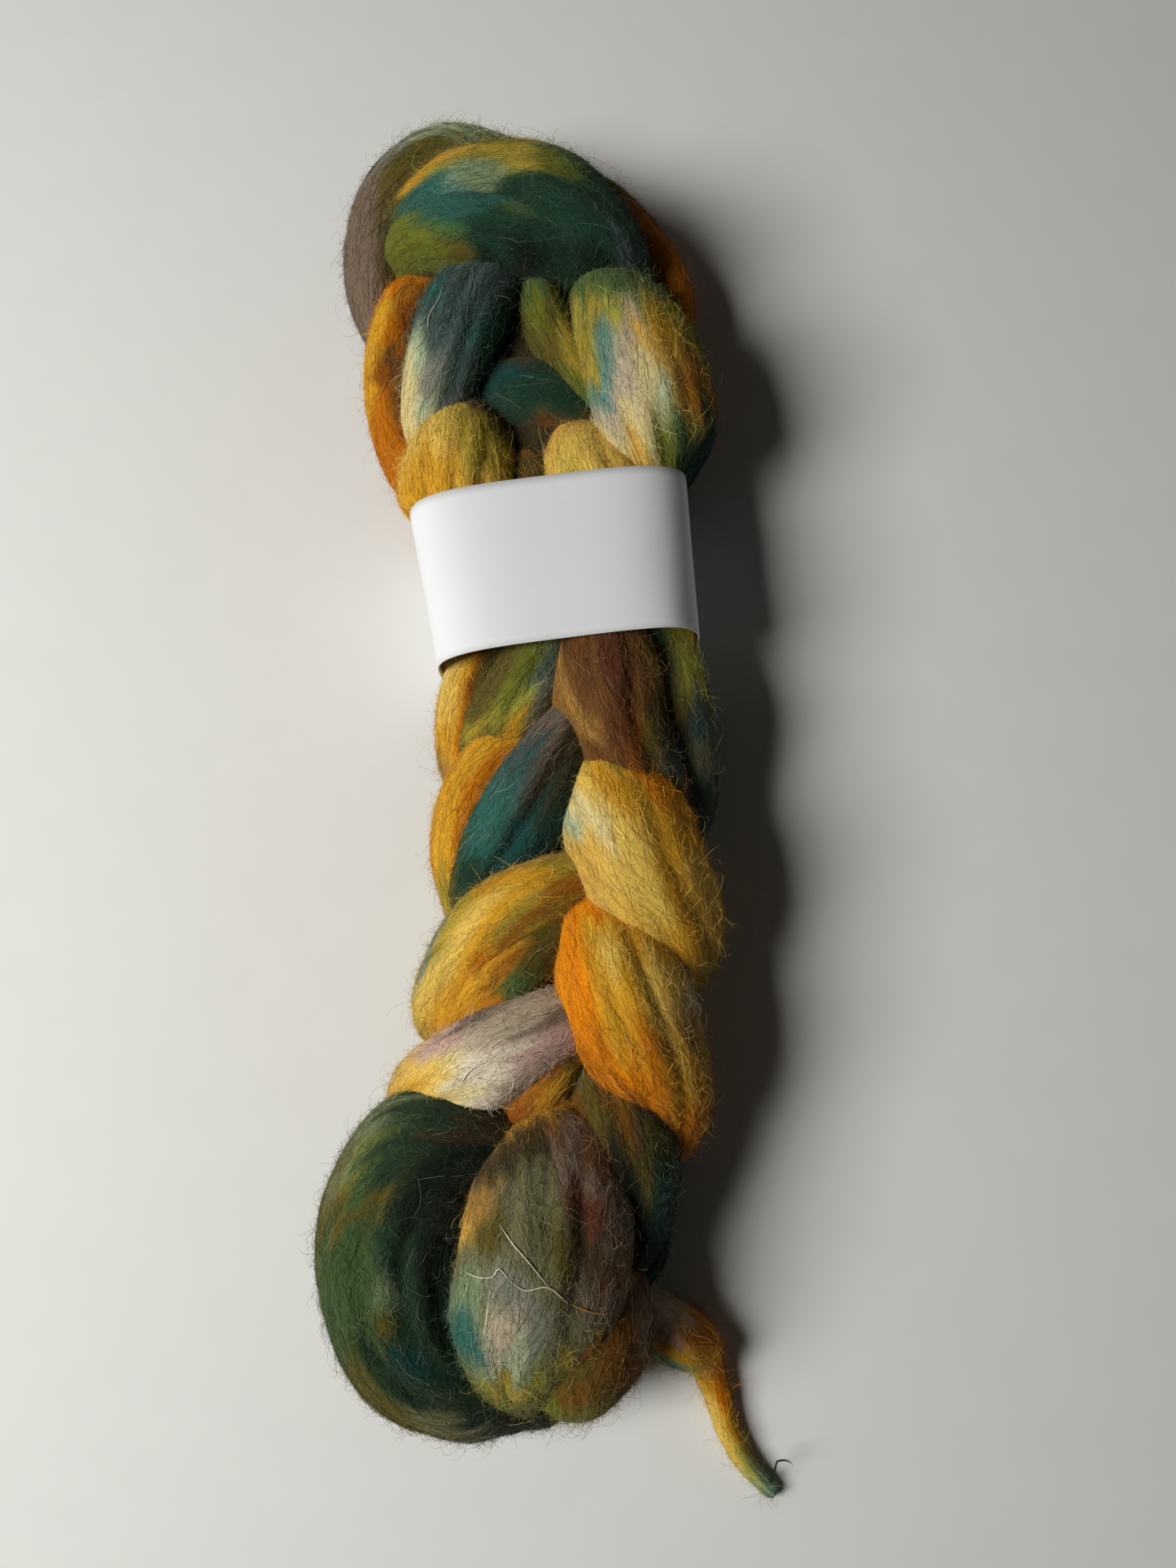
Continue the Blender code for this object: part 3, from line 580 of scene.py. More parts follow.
# The studio, in metres and watts: a soft window at the left over a pale floor in a dim room.
FLOOR_SIZE = 4.0
WINDOW_PLACE = (-0.73, -0.14, 0.81)
WINDOW_SIZE = (0.4, 0.56)
WINDOW_POWER = 12.8
WINDOW_COLOUR = (1.0, 0.99, 0.96)
ROOM_COLOUR = (1.0, 0.98, 0.95, 1.0)
ROOM_STRENGTH = 0.022


def spine_x(y):
    """Where the braid's hidden middle line lies across it, at this place along it."""
    rows = SPINE[::-1]
    return np.interp(y, [row[0] for row in rows], [row[1] for row in rows])


def smooth_through(stations, step):
    """Points of a smooth curve through the stations, in every column, with their place from 0 to 1 added."""
    rows = np.array(stations, float)
    rows = np.column_stack([rows, np.linspace(0.0, 1.0, len(rows))])
    rows = np.vstack([2 * rows[0] - rows[1], rows, 2 * rows[-1] - rows[-2]])
    curve = []
    for index in range(1, len(rows) - 2):
        before, start, end, after = rows[index - 1 : index + 3]
        steps = max(2, round(np.linalg.norm(end[:3] - start[:3]) / step))
        t = np.arange(steps)[:, None] / steps
        bend = 2 * before - 5 * start + 4 * end - after
        swing = 3 * start - before - 3 * end + after
        curve.append(0.5 * (2 * start + (end - before) * t + bend * t**2 + swing * t**3))
    curve.append(rows[-2:-1])
    return np.vstack(curve)


def with_tips(curve):
    """The same curve with rows added at both ends, where the section shrinks to a rounded tip."""
    ends = []
    for tip, inner in ((curve[0], curve[1]), (curve[-1], curve[-2])):
        away = tip[:3] - inner[:3]
        away /= np.linalg.norm(away)
        reach = 0.5 * min(tip[3], tip[4])
        rows = []
        for ring in range(1, TIP_RINGS + 1):
            angle = 0.5 * math.pi * ring / (TIP_RINGS + TIP_OPENING)
            row = tip.copy()
            row[:3] += away * reach * math.sin(angle)
            row[3:5] *= math.cos(angle)
            rows.append(row)
        ends.append(rows)
    return np.vstack([ends[0][::-1], curve, ends[1]])


def leg_stations(row):
    """Five stations down a leg of the chain, from its row of LEGS."""
    knee_x, knee_y, belly_x, belly_y, foot_x, foot_y, width, thick, crown, foot_z, drop = row[1:]
    belly_z = crown - 0.5 * thick
    knee_z = crown - drop - 0.5 * thick * LEG_FULLNESS[1][1]
    start_x = knee_x + START_BACK * (knee_x - belly_x)
    start_y = knee_y + START_BACK * (knee_y - belly_y)
    under_x = foot_x + UNDER_REACH * (spine_x(foot_y) - foot_x)
    centres = (
        (start_x, start_y, START_Z),
        (knee_x, knee_y, knee_z),
        (belly_x, belly_y, belly_z),
        (foot_x, foot_y, foot_z),
        (under_x, foot_y + UNDER_SHIFT_Y, UNDER_Z),
    )
    return [(*centre, width * wide, thick * deep) for centre, (wide, deep) in zip(centres, LEG_FULLNESS)]


def core_stations():
    """Stations down the hidden heart of the chain."""
    places = np.linspace(*CORE_ENDS, CORE_STATIONS)
    return [(spine_x(y), y, CORE_Z, CORE_WIDTH, CORE_THICK) for y in places]


def bump_stations(y, half, width):
    """Stations across a bump on the back of the chain."""
    x = spine_x(y)
    end = (BUMP_END_WIDTH * width, BUMP_END_THICK * BUMP_THICK)
    return [
        (x - half, y - BUMP_LEAN, BUMP_Z + BUMP_RISE, *end),
        (x, y, BUMP_Z, width, BUMP_THICK),
        (x + half, y + BUMP_LEAN, BUMP_Z + BUMP_RISE, *end),
    ]


def eased(share):
    """The share from 0 to 1 with a soft start and end."""
    return share * share * (3 - 2 * share)


def between_points(grid, row, column, ease=False):
    """Values of a grid between its points, at places counted in rows and columns. Columns wrap."""
    row_0 = row.astype(int)
    column_0 = column.astype(int) % grid.shape[1]
    column_1 = (column_0 + 1) % grid.shape[1]
    down = (row - row_0).reshape(row.shape + (1,) * (grid.ndim - 2))
    right = (column - np.floor(column)).reshape(down.shape)
    if ease:
        down = eased(down)
        right = eased(right)
    upper = grid[row_0, column_0] * (1 - right) + grid[row_0, column_1] * right
    lower = grid[row_0 + 1, column_0] * (1 - right) + grid[row_0 + 1, column_1] * right
    return upper * (1 - down) + lower * down


def sample(grid, row, column):
    """Values of a bundle's grid at places that may lie past its ends."""
    row = np.clip(row, 0.0, len(grid) - GRID_END)
    return between_points(grid, row, np.mod(column, grid.shape[1]))


def smooth_noise(rng, along, around, along_cells, around_cells):
    """Seeded noise from -1 to 1 over a bundle. Along is from 0 to 1, and around wraps at 1."""
    grid = rng.uniform(-1.0, 1.0, (along_cells + 2, around_cells))
    row = np.clip(along, 0.0, NOISE_END) * along_cells
    return between_points(grid, row, np.mod(around, 1.0) * around_cells, ease=True)


def unit(vectors):
    """The vectors at length 1."""
    return vectors / np.maximum(np.linalg.norm(vectors, axis=-1, keepdims=True), TINY)


def section_axes(centres):
    """Tangent, side and outward normal at each row of a bundle, turning smoothly along it."""
    tangents = unit(np.gradient(centres, axis=0))
    sides = np.empty_like(tangents)
    before = None
    for index, (centre, tangent) in enumerate(zip(centres, tangents)):
        outward = (centre[0] - spine_x(centre[1]), 0.0, centre[2] - SPINE_Z + OUTWARD_LIFT)
        side = unit(np.cross(tangent, outward))
        if before is not None:
            if side @ before < 0:
                side = -side
            side = side + before
            side = unit(side - tangent * (side @ tangent))
        sides[index] = side
        before = side
    return tangents, sides, np.cross(sides, tangents)


def screen_to_linear(colour):
    """Linear light of a screen colour from 0 to 255, by the sRGB formula."""
    share = np.asarray(colour, float) / 255.0
    return np.where(share <= 0.04045, share / 12.92, ((share + 0.055) / 1.055) ** 2.4)


def read_spots(text):
    """Place, across and dye of each spot, from a text that gives them in hundredths."""
    spots = [spot.split() for spot in text.split(",")]
    return [(float(place) / 100, float(across) / 100, dye) for place, across, dye in spots]


def dye_and_painted_light_field(spots, place, across, around, rng):
    """The dye at each point, with the shade and sheen painted on some bundles: the nearest spots blended,
    with edges drawn out along the fibre.
    """
    fine_cells = max(FEATHER_LEAST_CELLS, int(around.shape[1] / FEATHER_COLUMNS))
    drawn_place, drawn_across = place, across
    for along_cells, coarser, place_share, across_share in DYE_FEATHERS:
        around_cells = max(FEATHER_COARSEST, fine_cells // coarser)
        noise = smooth_noise(rng, place, around, along_cells, around_cells)
        drawn_place = drawn_place + place_share * noise
        drawn_across = drawn_across + across_share * noise
    total = np.zeros(place.shape)
    blend = np.zeros((*place.shape, 3))
    for spot_place, spot_across, dye in spots:
        distance = ((drawn_place - spot_place) * DYE_LENGTHWISE) ** 2 + (drawn_across - spot_across) ** 2
        weight = 1.0 / (distance + DYE_SPOT_SIZE) ** DYE_SHARPNESS
        total += weight
        blend += weight[..., None] * np.array(DYES[dye], float)
    return blend / total[..., None]


def fold_depth(name, place, across, rng):
    """How deep the creases of the bundle with this name are at each point."""
    depth = np.zeros(place.shape)
    wander = smooth_noise(rng, place, np.zeros(place.shape), *FOLD_CELLS) * FOLD_WANDER
    for bundle, fold_across, first, last, deep, half_width in FOLDS:
        if bundle != name:
            continue
        middle = 0.5 * (first + last)
        reach = 0.5 * (last - first)
        window = eased(np.clip(FOLD_REACH - np.abs(place - middle) / reach, 0.0, 1.0))
        off = (across - fold_across - wander) / half_width
        depth += deep * window * np.exp(-np.abs(off) ** FOLD_SHARPNESS)
    return depth


def relief(rng, along, around, girth, length):
    """The height of round locks and soft lumps over a bundle."""
    height = np.zeros(along.shape)
    for lock_width, lock_length, high in RELIEF:
        cells_around = max(LEAST_LOCKS_AROUND, round(girth / lock_width))
        cells_along = max(LEAST_CELLS_ALONG, round(length / lock_length))
        drift = smooth_noise(rng, along, around, cells_along + 1, DRIFT_CELLS) * LOCK_DRIFT / cells_around
        lock = np.abs(smooth_noise(rng, along, around + drift, cells_along, cells_around))
        height += high * (LOCK_GAIN * lock - LOCK_FLOOR)
    lumps_along = max(LEAST_CELLS_ALONG, round(length / LUMP_SIZE))
    lumps_around = max(LEAST_LUMPS_AROUND, round(girth / LUMP_SIZE))
    return height + LUMP_HEIGHT * smooth_noise(rng, along, around, lumps_along, lumps_around)


def band_frame(points):
    """Across and along positions of points in the sleeve's own turned frame."""
    x = points[..., 0] - BAND_CENTRE[0]
    y = points[..., 1] - BAND_CENTRE[1]
    across = x * math.cos(BAND_TURN) + y * math.sin(BAND_TURN)
    along = -x * math.sin(BAND_TURN) + y * math.cos(BAND_TURN)
    return across, along


def from_band_frame(across, along, z):
    """Points at these positions in the sleeve's frame, back in the tables' frame."""
    x = across * math.cos(BAND_TURN) - along * math.sin(BAND_TURN) + BAND_CENTRE[0]
    y = across * math.sin(BAND_TURN) + along * math.cos(BAND_TURN) + BAND_CENTRE[1]
    return np.stack([x, y, z], axis=-1)


def band_sizes(along, rise):
    """Half width of the sleeve's outside, and its reach above or below its middle on this rise's side."""
    share = np.clip(along / BAND_LENGTH + 0.5, *BAND_SHARES)
    half = BAND_LOWER_HALF_WIDTH + share * (BAND_UPPER_HALF_WIDTH - BAND_LOWER_HALF_WIDTH)
    top = BAND_LOWER_TOP + share * (BAND_UPPER_TOP - BAND_LOWER_TOP)
    return half, np.where(rise > 0, top - BAND_MIDDLE_Z, BAND_MIDDLE_Z + BAND_BELOW_TABLE)


def press_under_band(points, clearance):
    """Draws points in under the paper, and lets them swell out again past both of its ends."""
    across, along = band_frame(points)
    rise = points[..., 2] - BAND_MIDDLE_Z
    half, up = band_sizes(along, rise)
    past_end = np.maximum(0.0, np.abs(along) - 0.5 * BAND_LENGTH - BAND_FREE_END)
    inset = PAPER_THICK + PAPER_WAVE + clearance - BAND_BULGE_SLOPE * past_end
    wide = np.abs(across / (half - inset)) ** BAND_SQUARENESS
    deep = np.abs(rise / (up - inset)) ** BAND_SQUARENESS
    shrink = np.maximum(wide + deep, 1.0) ** (-1 / BAND_SQUARENESS)
    drawn = rise * shrink
    drawn = np.where(inset > 0, np.maximum(drawn, inset - BAND_MIDDLE_Z), drawn)
    pressed = from_band_frame(across * shrink, along, drawn + BAND_MIDDLE_Z)
    return np.where((past_end < BAND_REACH)[..., None], pressed, points)


def settle(points, clearance):
    """Points held in by the sleeve and kept on the table."""
    points = press_under_band(points, clearance)
    points[..., 2] = np.maximum(points[..., 2], TABLE_GAP)
    return points


class Bundle:
    """One swept bundle of fibre: a grid of points, with rows along it and columns around it."""

    def __init__(self, name, stations, index, spots, along_step=ALONG_STEP, around_step=AROUND_STEP):
        rng = np.random.default_rng((SEED, index))
        curve = with_tips(smooth_through(stations, along_step))
        self.name = name
        self.step = along_step
        self.centres = curve[:, :3]
        self.half_sizes = 0.5 * curve[:, 3:5]
        self.tangents, self.sides, self.outward = section_axes(self.centres)
        self.girth = math.pi * np.mean(self.half_sizes.sum(axis=1))
        steps = np.linalg.norm(np.diff(self.centres, axis=0), axis=1)
        run = np.concatenate([[0.0], np.cumsum(steps)])
        self.length = run[-1]
        columns = int(np.clip(round(self.girth / around_step), *COLUMN_LIMITS))
        shape = (len(curve), columns)
        around = np.broadcast_to(np.arange(columns) / columns, shape)
        along = np.broadcast_to((run / self.length)[:, None], shape)
        self.place = np.broadcast_to(curve[:, 5:6], shape)
        angle = 2 * math.pi * around - 0.5 * math.pi
        across = self.seen_across(angle)
        height = relief(rng, along, around, self.girth, self.length)
        height -= fold_depth(name, self.place, across, rng)
        thinnest = self.half_sizes.min(axis=1)
        height *= (thinnest / thinnest.max())[:, None]
        wide = (self.half_sizes[:, 0:1] + height) * np.cos(angle)
        deep = (self.half_sizes[:, 1:2] + height) * np.sin(angle)
        offset = self.sides[:, None] * wide[..., None] + self.outward[:, None] * deep[..., None]
        self.points = settle(self.centres[:, None] + offset, FIBRE_CLEARANCE)
        self.normals = self.surface_normals()
        # The dyes also hold the shade and sheen painted on a few bundles.
        self.dyes = dye_and_painted_light_field(spots, self.place, across, around, rng)
        apart = np.full(shape, FLOW_SPACING * index)
        self.flow = np.stack([around * self.girth, along * self.length, apart], axis=-1)

    def seen_across(self, angle):
        """How far across the bundle each point lies when seen from above, from 0 to 1."""
        level = np.cross(self.tangents, (0.0, 0.0, 1.0))
        for index in range(1, len(level)):
            turn = 1.0 if level[index] @ level[index - 1] >= 0 else -1.0
            level[index] = unit(turn * level[index] + LEVEL_MEMORY * unit(level[index - 1]))
        side = np.sum(self.sides * level, axis=1) * self.half_sizes[:, 0]
        out = np.sum(self.outward * level, axis=1) * self.half_sizes[:, 1]
        reach = np.sqrt(side**2 + out**2)[:, None]
        return 0.5 - 0.5 * (side[:, None] * np.cos(angle) + out[:, None] * np.sin(angle)) / reach

    def surface_normals(self):
        """Unit normals of the grid, turned away from the bundle's middle line."""
        down = np.gradient(self.points, axis=0)
        right = 0.5 * (np.roll(self.points, -1, axis=1) - np.roll(self.points, 1, axis=1))
        normals = unit(np.cross(right, down))
        out = self.points - self.centres[:, None]
        flip = np.sign(np.sum(normals * out, axis=-1, keepdims=True))
        return normals * np.where(flip == 0, 1.0, flip)

    def holds(self, points):
        """Which of these points lie inside the bundle."""
        inside = np.zeros(len(points), bool)
        reach = self.half_sizes.max()
        low = self.centres.min(axis=0) - reach
        high = self.centres.max(axis=0) + reach
        near = np.flatnonzero(np.all((points > low) & (points < high), axis=1))
        if len(near) == 0:
            return inside
        offsets = points[near][:, None] - self.centres[None, ::HOLD_STRIDE]
        nearest = np.argmin(np.sum(offsets**2, axis=2), axis=1)
        row = nearest * HOLD_STRIDE
        offset = offsets[np.arange(len(near)), nearest]
        wide = np.sum(offset * self.sides[row], axis=1) / self.half_sizes[row, 0]
        deep = np.sum(offset * self.outward[row], axis=1) / self.half_sizes[row, 1]
        along = np.abs(np.sum(offset * self.tangents[row], axis=1))
        inside[near] = (wide**2 + deep**2 < INSIDE_SHARE) & (along < HOLD_STRIDE * self.step)
        return inside

    def quads(self):
        """Quads of the grid, wound to face out."""
        rows, columns = self.points.shape[:2]
        index = np.arange(rows * columns).reshape(rows, columns)
        right = np.roll(index, -1, axis=1)
        return np.stack([index[:-1], right[:-1], right[1:], index[1:]], axis=-1).reshape(-1, 4)


def make_bundles():
    """Every bundle of the braid, the hidden ones last."""
    bundles = []
    for row in LEGS:
        bundles.append(Bundle(row[0], leg_stations(row), len(bundles), read_spots(DYE_AND_PAINTED_LIGHT_SPOTS[row[0]])))
    for name, stations in ROUTES.items():
        bundles.append(Bundle(name, stations, len(bundles), read_spots(DYE_AND_PAINTED_LIGHT_SPOTS[name])))
    hidden = [("core", core_stations(), read_spots(DYE_AND_PAINTED_LIGHT_SPOTS["core"]))]
    for number, (y, half, width, dye, second) in enumerate(BACK_BUMPS):
        spots = ((0.2, 0.5, dye), (0.5, 0.4, second), (0.8, 0.6, dye))
        hidden.append((f"back_{number}", bump_stations(y, half, width), spots))
    for name, stations, spots in hidden:
        bundles.append(Bundle(name, stations, len(bundles), spots, BACK_STEP, BACK_STEP))
    return bundles


def mark_open(bundles):
    """Notes which points of each bundle no other bundle and no paper covers."""
    for bundle in bundles:
        lifted = (bundle.points + OPEN_LIFT * bundle.normals).reshape(-1, 3)
        covered = np.zeros(len(lifted), bool)
        for other in bundles:
            if other is not bundle:
                covered |= other.holds(lifted)
        along = band_frame(lifted)[1]
        covered |= np.abs(along) < 0.5 * BAND_LENGTH - OPEN_UNDER_BAND
        covered |= lifted[:, 2] < 2 * TABLE_GAP
        bundle.open = ~covered.reshape(bundle.points.shape[:2])


def mesh_from(name, points, faces, dyes=None, flow=None):
    """A smooth mesh from points in millimetres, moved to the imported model's frame."""
    points = (np.asarray(points) + SHIFT) * MM
    mesh = bpy.data.meshes.new(name)
    mesh.vertices.add(len(points))
    mesh.vertices.foreach_set("co", points.astype(np.float32).ravel())
    corners = np.asarray(faces, np.int32)
    mesh.loops.add(corners.size)
    mesh.loops.foreach_set("vertex_index", corners.ravel())
    mesh.polygons.add(len(corners))
    mesh.polygons.foreach_set("loop_start", np.arange(0, corners.size, corners.shape[1], dtype=np.int32))
    mesh.update(calc_edges=True)
    if dyes is not None:
        colours = np.ones((len(points), 4), np.float32)
        colours[:, :3] = screen_to_linear(np.clip(dyes, 0, 255))
        # The dye colour also holds the shade and sheen painted on a few bundles.
        layer = mesh.color_attributes.new(name="dye", type="FLOAT_COLOR", domain="POINT")
        layer.data.foreach_set("color", colours.ravel())
    if flow is not None:
        layer = mesh.attributes.new("flow", "FLOAT_VECTOR", "POINT")
        layer.data.foreach_set("vector", np.asarray(flow, np.float32).ravel())
    mesh.shade_smooth()
    return mesh


def add_piece(name, mesh, material, slot, *nodes):
    """Puts a piece in the scene under the root body and hides the CAD parts that it stands for."""
    mesh.materials.append(material)
    piece = bpy.data.objects.new(name, mesh)
    bpy.context.scene.collection.objects.link(piece)
    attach(piece, "root")
    if nodes:
        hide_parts(*nodes)


def with_ends(grid, first, last):
    """The rows of a bundle's grid one after the other, and then the values at its two tips."""
    return np.vstack([grid.reshape(-1, 3), first, last])


def tip_fans(bundle):
    """Triangles that close both ends of a bundle, each round a point that follows the grid's own."""
    rows, columns = bundle.points.shape[:2]
    first = np.arange(columns)
    last = first + (rows - 1) * columns
    pole = np.full(columns, rows * columns)
    before = np.stack([pole, np.roll(first, -1), first], axis=-1)
    after = np.stack([pole + 1, last, np.roll(last, -1)], axis=-1)
    return np.vstack([before, after])


def join_bundles(name, bundles):
    """One mesh of several bundles, each of them closed."""
    points, quads, triangles, dyes, flow = [], [], [], [], []
    start = 0
    for bundle in bundles:
        tips = (bundle.points[0].mean(axis=0), bundle.points[-1].mean(axis=0))
        points.append(with_ends(bundle.points, *tips))
        dyes.append(with_ends(bundle.dyes, bundle.dyes[0, 0], bundle.dyes[-1, 0]))
        flow.append(with_ends(bundle.flow, bundle.flow[0, 0], bundle.flow[-1, 0]))
        quads.append(bundle.quads() + start)
        triangles.append(tip_fans(bundle) + start)
        start += len(points[-1])
    quads = np.vstack(quads)
    halves = np.vstack([quads[:, [0, 1, 2]], quads[:, [0, 2, 3]], *triangles])
    return mesh_from(name, np.vstack(points), halves, np.vstack(dyes), np.vstack(flow))


def pick_roots(bundles, count, rng):
    """Bundles with the grid places of strands spread evenly over what is open, fewer at the back."""
    weights = []
    for bundle in bundles:
        down = np.linalg.norm(np.gradient(bundle.points, axis=0), axis=-1)
        right = np.linalg.norm(np.roll(bundle.points, -1, axis=1) - bundle.points, axis=-1)
        facing = np.where(bundle.normals[..., 2] < BACK_FACING, BACK_DENSITY, 1.0)
        weights.append((down * right * facing * bundle.open).ravel())
    shares = np.concatenate(weights)
    shares = shares / shares.sum()
    picked = np.sort(rng.choice(len(shares), size=count, p=shares))
    roots = []
    start = 0
    for bundle, weight in zip(bundles, weights):
        own = picked[(picked >= start) & (picked < start + len(weight))] - start
        start += len(weight)
        columns = bundle.points.shape[1]
        row = own // columns + rng.uniform(-0.5, 0.5, len(own))
        column = own % columns + rng.uniform(-0.5, 0.5, len(own))
        roots.append((bundle, row, column))
    return roots


def ribbon_mesh(name, paths, sides, half_widths, dyes):
    """Thin strips along the paths, two points wide."""
    count, knots = paths.shape[:2]
    left = paths - sides * half_widths[..., None]
    right = paths + sides * half_widths[..., None]
    points = np.stack([left, right], axis=2)
    points[..., 2] = np.maximum(points[..., 2], TABLE_GAP)
    index = np.arange(count * knots * 2).reshape(count, knots, 2)
    quads = np.stack([index[:, :-1, 0], index[:, :-1, 1], index[:, 1:, 1], index[:, 1:, 0]], axis=-1)
    colours = np.repeat(dyes[:, :, None], 2, axis=2)
    return mesh_from(name, points.reshape(-1, 3), quads.reshape(-1, 4), colours.reshape(-1, 3))


def grow_ribbons(name, bundles, count, seed, grow):
    """One mesh of the strips that grow makes on each bundle, from roots spread over what is open."""
    rng = np.random.default_rng((SEED, seed))
    grown = []
    for bundle, row, column in pick_roots(bundles, count, rng):
        if len(row) > 0:
            grown.append(grow(bundle, row, column, rng))
    return ribbon_mesh(name, *[np.vstack(parts) for parts in zip(*grown)])


def strand_dyes(bundle, row, column, rng, paleness):
    """The dye of each strand, taken a little up or down the fibre, with its own shade, keeping the painted
    shade and sheen of its bundle.
    """
    picked = sample(bundle.dyes, row + rng.uniform(-DYE_DRIFT, DYE_DRIFT, row.shape), column)
    shade = np.exp(rng.normal(0.0, STRAND_SHADE, (len(row), 1, 1)))
    pale = np.where(rng.random((len(row), 1, 1)) < SILK_SHARE, SILK_PALENESS, paleness)
    return (picked * shade) * (1 - pale) + np.array(DYES["white"]) * pale


def comb_strands(bundles, number, name, count, segments, shortest, longest, half_width, low, high):
    """Strands that lie along the fibre and cover the bundles."""
    share = np.linspace(-0.5, 0.5, segments + 1)

    def grow(bundle, row, column, rng):
        each = (len(row), 1)
        step = bundle.length / (len(bundle.points) - 1)
        length = rng.uniform(shortest, longest, each)
        rows = row[:, None] + share * length / step
        bend = rng.normal(0, STRAND_WANDER, each) * share
        sway = rng.normal(0, STRAND_SWAY, each)
        sway = sway * np.sin(STRAND_HALF_WAVES * math.pi * (share + rng.random(each)))
        columns = column[:, None] + (bend + sway) * bundle.points.shape[1] / bundle.girth
        normal = unit(sample(bundle.normals, rows, columns))
        height = rng.uniform(low, high, each) * (1 - (2 * share) ** 4) - STRAND_SINK
        path = settle(sample(bundle.points, rows, columns) + normal * height[..., None], STRAND_CLEARANCE)
        side = unit(np.cross(unit(np.gradient(path, axis=1)), normal))
        twist = rng.uniform(-STRAND_TWIST, STRAND_TWIST, (len(row), 1, 1))
        side = side * np.cos(twist) + normal * np.sin(twist)
        taper = 1.0 - STRAND_TAPER * np.abs(2 * share) ** 3
        width = half_width * rng.uniform(*STRAND_WIDTHS, each) * taper
        return path, side, width, strand_dyes(bundle, rows, columns, rng, 0.0)

    return grow_ribbons(name, bundles, count, STRAND_SEED + number, grow)


def stray_fibres(bundles, number, name, count, segments, shortest, longest, lift, half_width):
    """Fibres that leave the surface and curl over it."""
    share = np.linspace(0.0, 1.0, segments + 1)

    def grow(bundle, row, column, rng):
        each = (len(row), 1)
        root = sample(bundle.points, row, column)
        normal = unit(sample(bundle.normals, row, column))
        ahead = sample(bundle.points, row + 1.0, column) - sample(bundle.points, row - 1.0, column)
        ahead = unit(ahead) * rng.choice([-1.0, 1.0], each)
        turn = rng.normal(0.0, STRAY_TURN, each)
        heading = ahead * np.cos(turn) + np.cross(normal, ahead) * np.sin(turn)
        crosswise = np.cross(normal, heading)
        length = rng.uniform(shortest, longest, each)
        high = lift * rng.random(each) ** STRAY_LOWNESS
        curl = rng.normal(0.0, STRAY_CURL, each) * length
        phase = rng.uniform(*STRAY_PHASES, each)
        ahead_by = length * share * (1 - STRAY_SHORTENING * share)
        up_by = high * np.sin(phase * share * math.pi * 0.5) - STRAY_SINK
        side_by = curl * np.sin(math.pi * share * phase)
        path = root[:, None] + heading[:, None] * ahead_by[..., None]
        path = path + normal[:, None] * up_by[..., None] + crosswise[:, None] * side_by[..., None]
        path = settle(path, STRAND_CLEARANCE)
        tangent = unit(np.gradient(path, axis=1))
        twist = rng.uniform(0.0, math.pi, (len(row), 1, 1))
        level = unit(np.cross(tangent, normal[:, None]))
        side = level * np.cos(twist) + np.cross(level, tangent) * np.sin(twist)
        width = half_width * (1.0 - STRAY_TAPER * share) * np.ones(each)
        rows = np.repeat(row[:, None], segments + 1, axis=1)
        columns = np.repeat(column[:, None], segments + 1, axis=1)
        return path, side, width, strand_dyes(bundle, rows, columns, rng, STRAY_PALENESS)

    return grow_ribbons(name, bundles, count, STRAY_SEED + number, grow)


def tube_mesh(name, paths, radii, dyes):
    """Round tubes that taper to both ends, along smooth paths."""
    points, faces, colours = [], [], []
    start = 0
    for path, radius, dye in zip(paths, radii, dyes):
        tangent = unit(np.gradient(path, axis=0))
        level = unit(np.cross(tangent, TUBE_UP))
        other = np.cross(tangent, level)
        share = np.linspace(0, 1, len(path))
        thick = radius * np.clip(TUBE_TAPER * np.minimum(share, 1 - share) + TUBE_TIP, 0, 1)
        angles = 2 * math.pi * np.arange(TUBE_SIDES) / TUBE_SIDES
        ring = level[:, None] * np.cos(angles)[:, None] + other[:, None] * np.sin(angles)[:, None]
        points.append((path[:, None] + ring * thick[:, None, None]).reshape(-1, 3))
        index = start + np.arange(len(path) * TUBE_SIDES).reshape(len(path), TUBE_SIDES)
        right = np.roll(index, -1, axis=1)
        faces.append(np.stack([index[:-1], index[1:], right[1:], right[:-1]], axis=-1).reshape(-1, 4))
        colours.append(np.tile(np.array(dye, float), (index.size, 1)))
        start += index.size
    return mesh_from(name, np.vstack(points), np.vstack(faces), np.vstack(colours))


def curve_through(points):
    """A smooth dense curve through a few points."""
    rows = np.array([(*point, 1, 1) for point in points], float)
    rows[:, :3] *= CURVE_FINENESS
    return smooth_through(rows, ALONG_STEP)[:, :3] / CURVE_FINENESS


def silk_paths(bundles):
    """Paths, radii and dyes of the silk threads, laid over their bundles."""
    paths, radii, dyes = [], [], []
    for name, dye, radius, knots in SILK_THREADS:
        bundle = bundles[name]
        rows, columns = bundle.points.shape[:2]
        body = np.arange(TIP_RINGS, rows - TIP_RINGS)
        knots = [(place * PLACE_UNITS, degrees, 0, 1, 1) for place, degrees in knots]
        places = smooth_through(knots, ALONG_STEP)
        row = np.interp(places[:, 0] / PLACE_UNITS, bundle.place[body, 0], body)
        column = (places[:, 1] + 90.0) / 360.0 * columns
        lift = unit(sample(bundle.normals, row, column)) * SILK_LIFT
        paths.append(settle(sample(bundle.points, row, column) + lift, STRAND_CLEARANCE))
        radii.append(radius)
        dyes.append(DYES[dye])
    return paths, radii, dyes


def squared_off(share):
    """A circle's cosine or sine, drawn out towards a rounded square's."""
    return np.sign(share) * np.abs(share) ** (2 / BAND_SQUARENESS)


